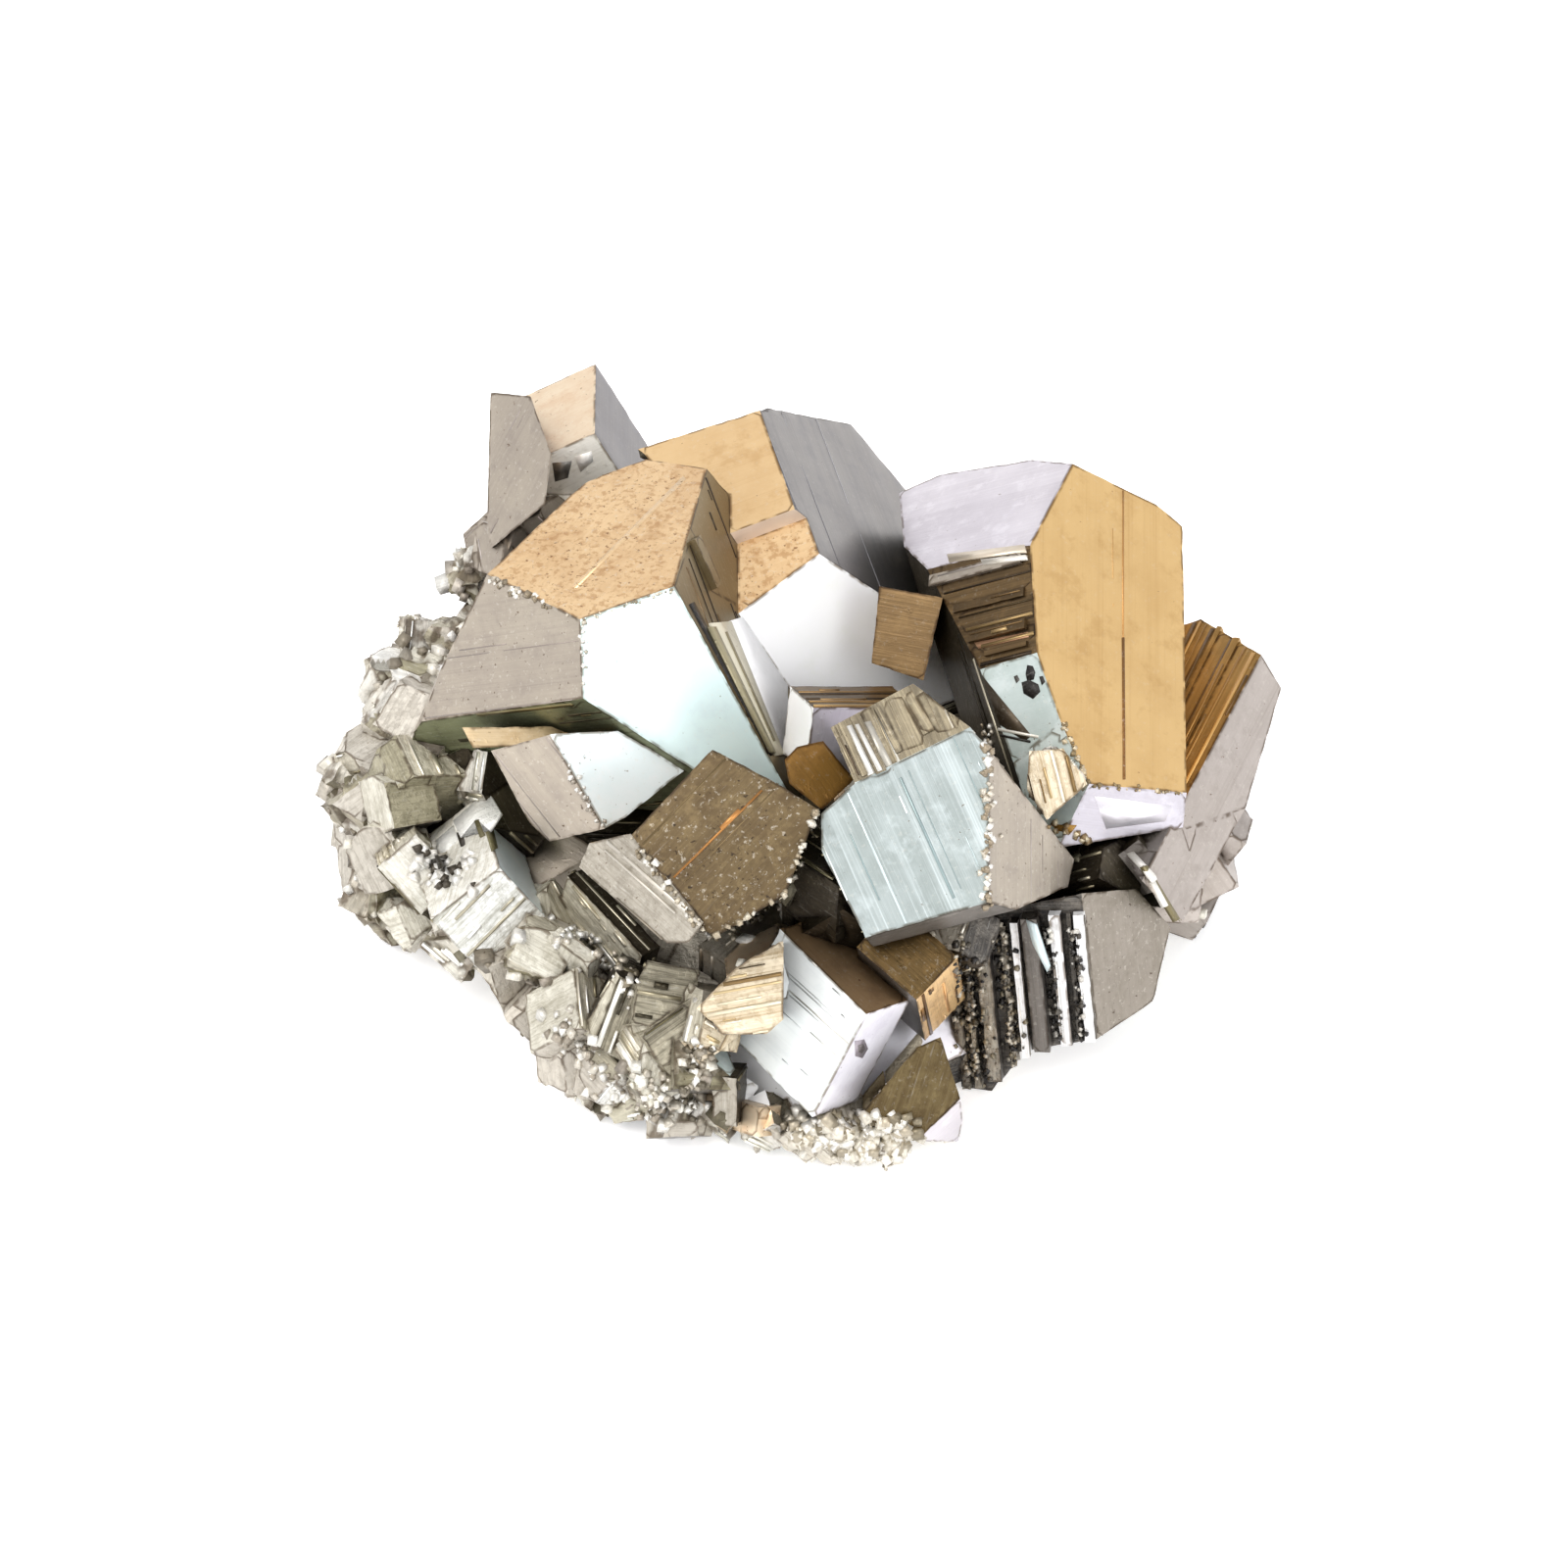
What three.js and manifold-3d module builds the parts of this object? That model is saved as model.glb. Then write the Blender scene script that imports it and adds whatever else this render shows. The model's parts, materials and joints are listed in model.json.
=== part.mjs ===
// A pyrite specimen: brassy crystals with flat faces, grown into each other on a lump of granular pyrite.
// Millimetres, +Z up. The origin is on the flat base, under the middle of the specimen.
import * as THREE from "three";
import { mergeVertices } from "three/addons/utils/BufferGeometryUtils.js";
import Module from "manifold-3d";

// Driving dimensions in millimetres and degrees
const SPECIMEN_WIDTH = 71;
const SIGHT_ELEVATION = 50;
const SIGHT_HEIGHT = 15;
const SIGHT_DISTANCE = 420;
const BASE_LEVEL = 0;
const CORE_BURIAL = 6;
const REACH = 45;
const INSIDE_DEPTH = 3;
const RIB_ROOT = 1;
const BACK_LUMPS = 26;
const BACK_LUMP_SIZE = [5, 7.5];
const BACK_LUMP_HEIGHT = [2, 4];

// Angles between neighbouring faces of pyrite, measured inside the crystal
const PYRITOHEDRON = 113.6;
const LONG_EDGE = 126.9;
const STEEP = 100;
const HIDDEN_ANGLES = [PYRITOHEDRON, STEEP, 90];
const HIDDEN_SINE = 0.08;

// Two planes whose normals turn by less than this don't meet, and points closer than this are one
const PARALLEL = 1e-5;
const SAME_POINT = 1e-6;

// Broken lumps: how far their six sides and their broken corners are from the middle, in lump sizes
const LUMP_SIDES = [0.34, 0.58];
const LUMP_CORNERS = [0.42, 0.54];
const LUMP_BREAKS = 3;
const LETTERS = "abcdefghij";

// Corners of the faces are given as places in a square picture, 1600 across, seen from the front and
// above. The specimen spans this many of them, and the middle of the picture looks at the sight point.
const PICTURE_MIDDLE = 800;
const PICTURE_SPAN = 985;
const MM_PER_PICTURE_UNIT = SPECIMEN_WIDTH / PICTURE_SPAN;

const wasm = await Module();
wasm.setup();

const radians = THREE.MathUtils.degToRad;
const vector = (x, y, z) => new THREE.Vector3(x, y, z);
const tilt = radians(SIGHT_ELEVATION);
const sightUp = vector(0, Math.sin(tilt), Math.cos(tilt));
const sightToward = vector(0, -Math.cos(tilt), Math.sin(tilt));
const sightPoint = vector(0, 0, SIGHT_HEIGHT);
const eye = sightPoint.clone().addScaledVector(sightToward, SIGHT_DISTANCE);

// The line of sight through a place in the picture
function sightLine([across, down]) {
  const target = sightPoint
    .clone()
    .addScaledVector(vector(1, 0, 0), (across - PICTURE_MIDDLE) * MM_PER_PICTURE_UNIT)
    .addScaledVector(sightUp, (PICTURE_MIDDLE - down) * MM_PER_PICTURE_UNIT);
  return new THREE.Ray(eye.clone(), target.sub(eye).normalize());
}

function meet(place, plane) {
  const point = sightLine(place).intersectPlane(plane, vector(0, 0, 0));
  if (!point) throw new Error(`the sight line ${place} misses its face`);
  return point;
}

function pointAtHeight(place, height) {
  return meet(place, new THREE.Plane(vector(0, 0, 1), -height));
}

function direction(azimuth, elevation) {
  const level = Math.cos(radians(elevation));
  return vector(
    level * Math.cos(radians(azimuth)),
    level * Math.sin(radians(azimuth)),
    Math.sin(radians(elevation)),
  );
}

// The convex solid behind a set of planes whose normals point out: every point where three planes meet
// that is outside none of them is a corner, and the corners of each plane make one flat face.
function solidBehind(planes) {
  const corners = [];
  const faces = planes.map(() => []);
  for (let i = 0; i < planes.length; i++) {
    for (let j = i + 1; j < planes.length; j++) {
      for (let k = j + 1; k < planes.length; k++) {
        const corner = meetingPoint(planes[i], planes[j], planes[k]);
        if (!corner || planes.some((plane) => plane.distanceToPoint(corner) > SAME_POINT)) continue;
        let index = corners.findIndex((other) => other.distanceTo(corner) < SAME_POINT);
        if (index < 0) index = corners.push(corner) - 1;
        for (const face of [i, j, k]) {
          if (!faces[face].includes(index)) faces[face].push(index);
        }
      }
    }
  }
  const triangles = [];
  faces.forEach((face, number) => {
    if (face.length < 3) return;
    const ring = sortAround(face, corners, planes[number].normal);
    for (let i = 1; i + 1 < ring.length; i++) triangles.push(ring[0], ring[i], ring[i + 1]);
  });
  return solidFrom(corners.flatMap((corner) => corner.toArray()), triangles);
}

function meetingPoint(first, second, third) {
  const crossing = vector(0, 0, 0).crossVectors(second.normal, third.normal);
  const spread = first.normal.dot(crossing);
  if (Math.abs(spread) < PARALLEL) return null;
  return crossing
    .multiplyScalar(-first.constant)
    .addScaledVector(vector(0, 0, 0).crossVectors(third.normal, first.normal), -second.constant)
    .addScaledVector(vector(0, 0, 0).crossVectors(first.normal, second.normal), -third.constant)
    .divideScalar(spread);
}

function sortAround(face, corners, normal) {
  const centre = vector(0, 0, 0);
  for (const index of face) centre.addScaledVector(corners[index], 1 / face.length);
  const start = corners[face[0]].clone().sub(centre).projectOnPlane(normal).normalize();
  const side = vector(0, 0, 0).crossVectors(normal, start);
  const angle = (index) => {
    const arm = corners[index].clone().sub(centre);
    return Math.atan2(arm.dot(side), arm.dot(start));
  };
  return [...face].sort((a, b) => angle(a) - angle(b));
}

function solidFrom(positions, triangles) {
  return new wasm.Manifold(
    new wasm.Mesh({
      numProp: 3,
      vertProperties: new Float32Array(positions),
      triVerts: new Uint32Array(triangles),
    }),
  );
}

// A crystal is built face by face. Its corners are named places in the picture. A face that has a known
// plane fixes the points of all its corners, and three fixed corners fix the plane of the next face.
class Crystal {
  constructor(corners) {
    this.corners = corners;
    this.points = {};
    this.planes = [];
  }

  addFace(plane, letters) {
    const centre = vector(0, 0, 0);
    for (const letter of letters) {
      this.points[letter] ??= meet(this.corners[letter], plane);
      centre.addScaledVector(this.points[letter], 1 / letters.length);
    }
    this.planes.push(plane);
    return { plane, centre };
  }

  // The first face: the way it faces, and the height of its first corner above the base
  facing(letters, azimuth, elevation, height) {
    const point = pointAtHeight(this.corners[letters[0]], height);
    const plane = new THREE.Plane().setFromNormalAndCoplanarPoint(direction(azimuth, elevation), point);
    const face = this.addFace(plane, letters);
    this.inside = face.centre.clone().addScaledVector(plane.normal, -INSIDE_DEPTH);
    return face;
  }

  // A face that turns away from a known face along the edge between the first two corners
  fold(known, letters, insideAngle) {
    return this.addFace(this.turnedPlane(known, letters, insideAngle), letters);
  }

  turnedPlane(known, letters, insideAngle) {
    const start = this.points[letters[0]];
    const edge = this.points[letters[1]].clone().sub(start).normalize();
    const inward = known.centre.clone().sub(start);
    inward.addScaledVector(edge, -inward.dot(edge)).projectOnPlane(known.plane.normal).normalize();
    const turn = radians(180 - insideAngle);
    const normal = known.plane.normal
      .clone()
      .multiplyScalar(Math.cos(turn))
      .addScaledVector(inward, -Math.sin(turn))
      .normalize();
    return new THREE.Plane().setFromNormalAndCoplanarPoint(normal, start);
  }

  // A face through its first three corners, which are all fixed already
  through(letters) {
    const [a, b, c] = [...letters].map((letter) => this.points[letter]);
    const plane = new THREE.Plane().setFromCoplanarPoints(a, b, c);
    if (plane.distanceToPoint(this.inside) > 0) plane.negate();
    return this.addFace(plane, letters);
  }

  // Hidden sides that fold away from a face, one for each pair of corners. Each side takes the first
  // crystal angle that the eye can't see round, or else runs back along the line of sight.
  close(known, pairs) {
    for (const pair of pairs) {
      const sides = HIDDEN_ANGLES.map((angle) => this.turnedPlane(known, pair, angle));
      const hidden = sides.find((plane) => plane.distanceToPoint(eye) < -SIGHT_DISTANCE * HIDDEN_SINE);
      this.planes.push(hidden ?? this.sightSide(known, pair));
    }
  }

  sightSide(known, pair) {
    const [start, end] = [...pair].map((letter) => this.points[letter]);
    const away = start.clone().sub(eye).normalize();
    const normal = vector(0, 0, 0).crossVectors(end.clone().sub(start), away).normalize();
    if (normal.dot(known.centre.clone().sub(start)) > 0) normal.negate();
    normal.addScaledVector(away, HIDDEN_SINE).normalize();
    return new THREE.Plane().setFromNormalAndCoplanarPoint(normal, start);
  }

  solid(thickness) {
    const front = this.planes[0];
    const back = new THREE.Plane(front.normal.clone().negate(), -front.constant - thickness);
    const middle = Object.values(this.points)[0];
    return solidBehind([...this.planes, back, ...boxPlanes(middle, REACH)]);
  }
}

function boxPlanes(middle, reach) {
  const planes = [];
  for (const axis of [vector(1, 0, 0), vector(0, 1, 0), vector(0, 0, 1)]) {
    for (const sign of [1, -1]) {
      const normal = axis.clone().multiplyScalar(sign);
      planes.push(new THREE.Plane(normal, -normal.dot(middle) - reach));
    }
  }
  return planes;
}

// A square-cornered block: one corner, its height, and the far ends of the three edges that leave it.
// In a picture each edge falls away from the eye by as much as makes the three of them perpendicular.
function block(corner, height, ends) {
  const origin = pointAtHeight(corner, height);
  const edges = ends.map((end) => [
    (end[0] - corner[0]) * MM_PER_PICTURE_UNIT,
    (corner[1] - end[1]) * MM_PER_PICTURE_UNIT,
  ]);
  const flatDot = (i, j) => edges[i][0] * edges[j][0] + edges[i][1] * edges[j][1];
  const products = [-flatDot(1, 2), -flatDot(0, 2), -flatDot(0, 1)];
  const toEye = eye.clone().sub(origin).normalize();
  const across = vector(0, 0, 0).crossVectors(sightUp, toEye).normalize();
  const upward = vector(0, 0, 0).crossVectors(toEye, across);
  const arms = edges.map(([x, y], i) => {
    const fall = Math.sqrt((products[(i + 1) % 3] * products[(i + 2) % 3]) / products[i]);
    return vector(0, 0, 0)
      .addScaledVector(across, x)
      .addScaledVector(upward, y)
      .addScaledVector(toEye, -fall);
  });
  const planes = arms.flatMap((arm) => {
    const normal = arm.clone().normalize();
    return [
      new THREE.Plane(normal.clone().negate(), normal.dot(origin)),
      new THREE.Plane(normal, -normal.dot(origin) - arm.length()),
    ];
  });
  return solidBehind(planes);
}

// A raised rib on a face, between two places in the picture
function rib(face, from, to, width, rise) {
  const start = meet(from, face.plane);
  const end = meet(to, face.plane);
  const along = end.clone().sub(start);
  const sideways = vector(0, 0, 0).crossVectors(face.plane.normal, along).normalize();
  const middle = start.clone().add(end).multiplyScalar(0.5);
  const limits = [
    [along.clone().normalize(), along.length() / 2, along.length() / 2],
    [sideways, width / 2, width / 2],
    [face.plane.normal, rise, RIB_ROOT],
  ];
  return solidBehind(
    limits.flatMap(([normal, ahead, behind]) => [
      new THREE.Plane(normal.clone(), -normal.dot(middle) - ahead),
      new THREE.Plane(normal.clone().negate(), normal.dot(middle) - behind),
    ]),
  );
}

// A crystal that shows one face: its corners in turn, the way it faces and its first corner's height
function oneFaced(corners, azimuth, elevation, height, thickness) {
  const letters = LETTERS.slice(0, corners.length);
  const crystal = new Crystal(Object.fromEntries(corners.map((corner, i) => [letters[i], corner])));
  crystal.close(crystal.facing(letters, azimuth, elevation, height), pairsAround(letters));
  return crystal.solid(thickness);
}

function pairsAround(letters) {
  return [...letters].map((letter, i) => letter + letters[(i + 1) % letters.length]);
}

// Repeatable random numbers from 0 to 1
function seeded(seed) {
  let state = seed;
  return () => {
    state = (Math.imul(state, 1664525) + 1013904223) >>> 0;
    return state / 4294967296;
  };
}

const between = ([low, high], random) => low + (high - low) * random();

// A rough lump: a turned block with some corners broken off
function lump(middle, size, random) {
  const either = () => random() - 0.5;
  const turn = new THREE.Quaternion(either(), either(), either(), either()).normalize();
  const planes = boxPlanes(vector(0, 0, 0), size).map(
    (plane) => new THREE.Plane(plane.normal.applyQuaternion(turn), -size * between(LUMP_SIDES, random)),
  );
  for (let i = 0; i < LUMP_BREAKS; i++) {
    const normal = vector(either(), either(), either()).normalize();
    planes.push(new THREE.Plane(normal, -size * between(LUMP_CORNERS, random)));
  }
  for (const plane of planes) plane.constant -= plane.normal.dot(middle);
  return solidBehind(planes);
}

// The big left crystal: a nearly level gold top, a pale front and a grey left side
function leftCrystal() {
  const crystal = new Crystal({
    a: [497, 586], b: [577, 510], c: [631, 464], d: [721, 478], e: [688, 598], f: [592, 632],
    g: [595, 713], h: [798, 797], i: [461, 732], j: [441, 706], k: [476, 612], l: [445, 655],
    m: [430, 700], p: [640, 845], q: [800, 835], r: [705, 784],
  });
  const top = crystal.facing("edcbaf", 104, 75, 29.5);
  const front = crystal.fold(top, "fehgpqr", PYRITOHEDRON);
  crystal.close(front, ["pq"]);
  const left = crystal.through("afgijk");
  const right = crystal.through("deh");
  crystal.through("igr");
  const bevel = crystal.fold(left, "jklm", 140);
  crystal.close(bevel, ["lm"]);
  crystal.close(top, ["ab", "bc", "cd"]);
  const slab = rib(right, [706, 550], [729, 600], 1.3, 0.5);
  return [crystal.solid(30), slab];
}

// The crystal behind it: a gold top with a step across it, a dark right side and a white front
function backCrystal() {
  const corners = {
    a: [651, 458], b: [783, 416], c: [836, 565], d: [740, 636], e: [828, 405], f: [858, 420],
    g: [912, 485], h: [915, 503], i: [895, 604], j: [889, 676], k: [815, 708], l: [797, 775],
    m: [784, 782], n: [725, 637], s: [820, 516], t: [748, 543],
  };
  const lower = new Crystal(corners);
  const top = lower.facing("cbad", -170, 83, 22.5);
  const right = lower.fold(top, "bcihgfe", LONG_EDGE);
  const front = lower.through("dcijkl");
  const bevel = lower.fold(front, "dlmn", 150);
  lower.planes.push(lower.sightSide(bevel, "mn"));
  lower.close(top, ["ab"]);
  lower.close(right, ["be", "ef", "fg"]);
  const upper = new Crystal(corners);
  const step = upper.facing("sbat", -170, 83, 23.4);
  upper.planes.push(right.plane);
  upper.close(step, ["ab", "at"]);
  upper.fold(step, "ts", PYRITOHEDRON);
  return [lower.solid(26), upper.solid(6)];
}

// The big right crystal: a tall gold face, a lilac top, a dark striped left side and small lower faces
function rightCrystal() {
  const crystal = new Crystal({
    a: [1093, 476], b: [1105, 478], c: [1180, 515], d: [1207, 537], e: [1211, 809], f: [1111, 800],
    g: [1083, 738], h: [1058, 666], i: [1051, 556], j: [925, 586], k: [917, 503], l: [960, 484],
    m: [1060, 468], n: [1000, 683], o: [962, 611], p: [1212, 820], q: [1203, 845], r: [1130, 857],
    s: [1068, 838], t: [1047, 805], u: [1050, 765], v: [1058, 745], w: [990, 735],
  });
  const gold = crystal.facing("iabcdefgh", -25, 60, 27);
  const dark = crystal.fold(gold, "ihnoj", PYRITOHEDRON);
  const top = crystal.through("aijklm");
  crystal.fold(dark, "onwv", 134);
  crystal.through("nhgvu");
  crystal.through("gfust");
  const lilac = crystal.fold(gold, "efrqp", 128);
  crystal.close(lilac, ["rq"]);
  crystal.close(top, ["jk", "kl", "lm"]);
  crystal.close(gold, ["bc", "cd", "de"]);
  const ribs = [
    [[950, 594], [1044, 569], 0.9, 0.3],
    [[974, 622], [1046, 604], 0.7, 0.2],
    [[990, 652], [1048, 637], 0.8, 0.35],
    [[1006, 668], [1049, 657], 0.4, 0.25],
  ].map((place) => rib(dark, ...place));
  return [crystal.solid(34), ...ribs];
}

// The far right crystal: a brown striated face and a pale one below it
function farRightCrystal() {
  const crystal = new Crystal({
    a: [1212, 636], b: [1243, 626], c: [1287, 668], d: [1213, 808], e: [1308, 702], f: [1271, 825],
    g: [1205, 945], h: [1165, 899], i: [1190, 640], j: [1140, 905],
  });
  const brown = crystal.facing("dcbaij", 158, 72, 15);
  const pale = crystal.fold(brown, "cdhgfe", PYRITOHEDRON);
  crystal.close(brown, ["ab", "bc", "ij"]);
  crystal.close(pale, ["hg", "ce", "ef", "fg"]);
  const ribs = [
    [[1262, 652], [1206, 762], 0.6, 0.16],
    [[1245, 640], [1206, 718], 0.4, 0.12],
  ].map((place) => rib(brown, ...place));
  return [crystal.solid(20), ...ribs];
}

// A small striated block between the back and the right crystal, the ledge under it, a knob in front of
// the ledge, and a crusty block against the foot of the right crystal
function middleBlocks() {
  const striated = [[962, 611], [943, 695], [889, 677], [897, 598]];
  const knob = [[800, 775], [812, 762], [840, 756], [872, 795], [838, 826], [805, 800]];
  const crust = [[1050, 765], [1085, 762], [1110, 800], [1068, 838], [1047, 805]];
  return [
    oneFaced(striated, -112, 44, 22, 14),
    block([830, 722], 23, [[806, 700], [935, 722], [822, 790]]),
    oneFaced(knob, -60, 62, 24, 12),
    oneFaced(crust, -75, 40, 24.5, 12),
  ];
}

// The centre right crystal: a striated face, paler and steeper below, and a grey right side
function centreRightCrystal() {
  const corners = {
    a: [846, 743], b: [932, 697], c: [990, 742], d: [1010, 764], e: [1008, 921], f: [883, 957],
    g: [838, 866], h: [838, 830], i: [872, 799], j: [1050, 762], k: [1100, 860], l: [1090, 905],
    m: [1045, 925], n: [1020, 935], o: [960, 965], p: [880, 968],
  };
  const crystal = new Crystal(corners);
  const lower = crystal.facing("ecdihgf", -82, 46, 21.5);
  const right = crystal.fold(lower, "dejklmn", 130);
  crystal.fold(lower, "efpon", 116);
  crystal.close(lower, ["fg", "gh", "hi", "ic", "cd"]);
  crystal.close(right, ["jk", "kl", "lm"]);
  const crown = new Crystal(corners);
  const crownFront = crown.facing("ecdif", -82, 46, 21.5);
  const upper = crown.fold(crownFront, "ciab", 156);
  crown.close(upper, ["ia", "ab", "bc"]);
  crown.close(crownFront, ["cd", "de", "ef"]);
  const ribs = [
    [[858, 737], [883, 792], 0.5, 0.15],
    [[872, 731], [900, 789], 0.8, 0.2],
    [[895, 722], [918, 768], 0.5, 0.12],
    [[925, 708], [948, 748], 0.9, 0.15],
  ].map((place) => rib(upper, ...place));
  return [crystal.solid(26), crown.solid(16), ...ribs];
}

// The centre crystal: a brown five-sided face and a narrow grey side to the lower left
function centreCrystal() {
  const top = [
    [727, 764], [797, 801], [835, 826], [822, 860], [801, 914], [730, 957], [712, 945], [643, 853],
  ];
  const side = [[646, 853], [716, 945], [705, 963], [680, 963], [590, 885], [600, 860]];
  return [oneFaced(top, -100, 58, 30, 24), oneFaced(side, -140, 30, 25.5, 12)];
}

// The top left crystal and its tall grey side
function topLeftCrystal() {
  const side = [[543, 408], [562, 470], [556, 515], [500, 566], [497, 525], [500, 400]];
  const foot = [[497, 522], [545, 525], [500, 585], [480, 582], [472, 545]];
  return [
    block([607, 442], 25, [[608, 368], [508, 487], [664, 531]]),
    oneFaced(side, -150, 38, 27, 14),
    oneFaced(foot, -140, 45, 17, 12),
  ];
}

// The left middle box with a narrow strip along its top, and the rough box in front of it
function leftBoxes() {
  const box = new Crystal({
    a: [573, 770], b: [580, 748], c: [627, 744], d: [702, 785], e: [664, 820], f: [617, 846],
    g: [615, 852], h: [580, 878], i: [540, 840], j: [500, 765], k: [530, 758],
  });
  const pale = box.facing("abcdef", -48, 42, 23.2);
  const grey = box.fold(pale, "afghijk", PYRITOHEDRON);
  box.planes.push(box.sightSide(pale, "kb"));
  box.close(pale, ["bc", "cd", "de", "ef"]);
  box.close(grey, ["gh", "hi", "ij", "jk"]);
  const strip = [[470, 742], [563, 741], [580, 748], [572, 761], [530, 762], [485, 768]];
  return [
    box.solid(20),
    oneFaced(strip, -80, 74, 20.9, 6),
    block([510, 885], 15, [[487, 812], [556, 935], [440, 938]]),
    block([425, 850], 13, [[408, 800], [470, 900], [385, 885]]),
  ];
}

// The bottom centre block, the fibrous one on its left, and the small ones on its right
function bottomBlocks() {
  const fibrous = [
    [700, 1018], [748, 990], [775, 962], [800, 960], [800, 1040], [783, 1056], [738, 1057],
  ];
  const brown = new Crystal({
    a: [940, 1066], b: [960, 1058], c: [982, 1120], d: [935, 1165], e: [875, 1140], f: [985, 1130],
    g: [980, 1155], h: [935, 1180],
  });
  const brownFace = brown.facing("abcde", -90, 32, 12);
  const brownSide = brown.fold(brownFace, "cdhgf", 122);
  brown.close(brownFace, ["ab", "bc", "de", "ea"]);
  brown.close(brownSide, ["fg"]);
  return [
    block([884, 1035], 16, [[798, 950], [928, 1020], [830, 1138]]),
    oneFaced(fibrous, -112, 46, 14, 16),
    block([935, 1021], 16, [[976, 978], [875, 968], [944, 1062]]),
    brown.solid(14),
  ];
}

// The broken block at the bottom right: leaning ribs on its front, and a smooth right side
function ribbedBlock() {
  const crystal = new Crystal({
    a: [962, 965], b: [1034, 925], c: [1105, 925], d: [1120, 1060], e: [1060, 1070], f: [985, 1083],
    h: [1157, 904], i: [1195, 945], j: [1177, 1022],
  });
  const front = crystal.facing("cdefab", -102, 24, 15);
  const right = crystal.fold(front, "cdjih", LONG_EDGE);
  crystal.close(front, ["fa", "ab", "de"]);
  crystal.close(right, ["hi", "ij", "jd"]);
  crystal.planes.push(crystal.sightSide(front, "bh"));
  const foot = new Crystal({
    a: [970, 1040], b: [1045, 1050], c: [1040, 1082], d: [1012, 1115], e: [983, 1122],
  });
  const footFace = foot.addFace(front.plane, "abcde");
  foot.close(footFace, pairsAround("abcde"));
  const ribs = [
    [[972, 975], [987, 1110], 0.7, 0.4],
    [[987, 966], [1000, 1106], 0.5, 0.8],
    [[1003, 953], [1018, 1098], 1.1, 1.1],
    [[1024, 942], [1036, 1085], 0.5, 0.5],
    [[1036, 936], [1049, 1075], 0.6, 0.9],
    [[1052, 930], [1066, 1066], 1.2, 1.3],
    [[1077, 929], [1090, 1063], 0.9, 0.8],
    [[1090, 930], [1103, 1062], 0.4, 0.3],
    [[1101, 930], [1114, 1060], 0.8, 0.6],
  ].map((place) => rib(front, ...place));
  return [crystal.solid(24), foot.solid(8), ...ribs];
}

// Small blocks and slabs beside the bigger crystals
function smallBlocks() {
  return [
    block([655, 975], 11, [[578, 893], [674, 966], [642, 1020]]),
    block([600, 985], 11, [[560, 955], [612, 975], [598, 1055]]),
    block([742, 985], 13, [[712, 965], [768, 962], [742, 1010]]),
    block([812, 925], 16, [[797, 918], [822, 915], [812, 950]]),
    block([752, 1100], 8, [[727, 1098], [762, 1085], [752, 1150]]),
    block([775, 1130], 6, [[750, 1122], [797, 1128], [772, 1160]]),
    block([665, 1110], 6, [[650, 1095], [690, 1100], [662, 1135]]),
  ];
}

// Granular lumps: place in the picture, height above the base, size
const RUBBLE = [
  [445, 695, 12, 4.5], [405, 730, 10, 5], [380, 775, 8, 5], [372, 820, 7, 4.5], [392, 870, 7, 5],
  [378, 905, 4, 3.6], [420, 935, 4.5, 4.5], [440, 740, 12, 6], [425, 790, 11, 6], [405, 825, 10, 5],
  [470, 700, 13, 5], [468, 655, 13, 4], [352, 800, 6, 3.6], [480, 955, 5, 5], [520, 985, 6, 5],
  [548, 1025, 4, 4.5], [585, 1072, 4, 4.5], [590, 1040, 7, 5.5], [640, 1030, 9, 6], [620, 1085, 5, 5],
  [660, 1070, 7, 5.5], [650, 1112, 3, 4], [610, 1105, 3, 4], [695, 1055, 9, 5], [705, 1090, 7, 5],
  [700, 1128, 2.5, 4.5], [740, 1128, 3, 4], [680, 1015, 11, 5], [720, 1030, 11, 4.5], [780, 1145, 3, 4],
  [825, 1150, 3, 3.4], [850, 1156, 2.5, 3.6], [878, 1155, 2.5, 3.6], [908, 1158, 2.5, 3.4],
  [850, 1142, 4, 4], [1228, 880, 6, 4], [1195, 908, 7, 4], [1150, 885, 12, 5], [1125, 890, 13, 4.5],
  [1185, 865, 12, 4], [1235, 850, 8, 4], [1172, 892, 10, 3.6], [500, 572, 15, 3.5], [520, 560, 17, 4],
  [548, 535, 19, 4], [572, 505, 18, 3.5], [530, 545, 18, 3.5], [485, 590, 14, 3.5], [562, 932, 8, 4],
  [425, 658, 12, 3.6], [402, 702, 10, 4.5], [500, 800, 10, 5], [515, 838, 9, 4.5], [488, 780, 11, 4],
  [985, 955, 14, 4], [945, 968, 14, 4], [545, 965, 9, 5], [780, 985, 13, 4.5], [845, 905, 17, 6],
  [862, 940, 15, 5],
];

function rubble() {
  const random = seeded(7);
  return RUBBLE.map(([across, down, height, size]) =>
    lump(pointAtHeight([across, down], height), size, random),
  );
}

// A whole crystal with twelve five-sided faces, and six square ones that cut its long edges off
function wholeCrystal(middle, size, squareShare, turn) {
  const planes = boxPlanes(vector(0, 0, 0), (squareShare * size) / 2);
  for (const one of [1, -1]) {
    for (const two of [2, -2]) {
      for (const normal of [vector(0, one, two), vector(two, 0, one), vector(one, two, 0)]) {
        planes.push(new THREE.Plane(normal.normalize(), -size / 2));
      }
    }
  }
  for (const plane of planes) {
    plane.normal.applyEuler(turn);
    plane.constant -= plane.normal.dot(middle);
  }
  return solidBehind(planes);
}

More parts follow.
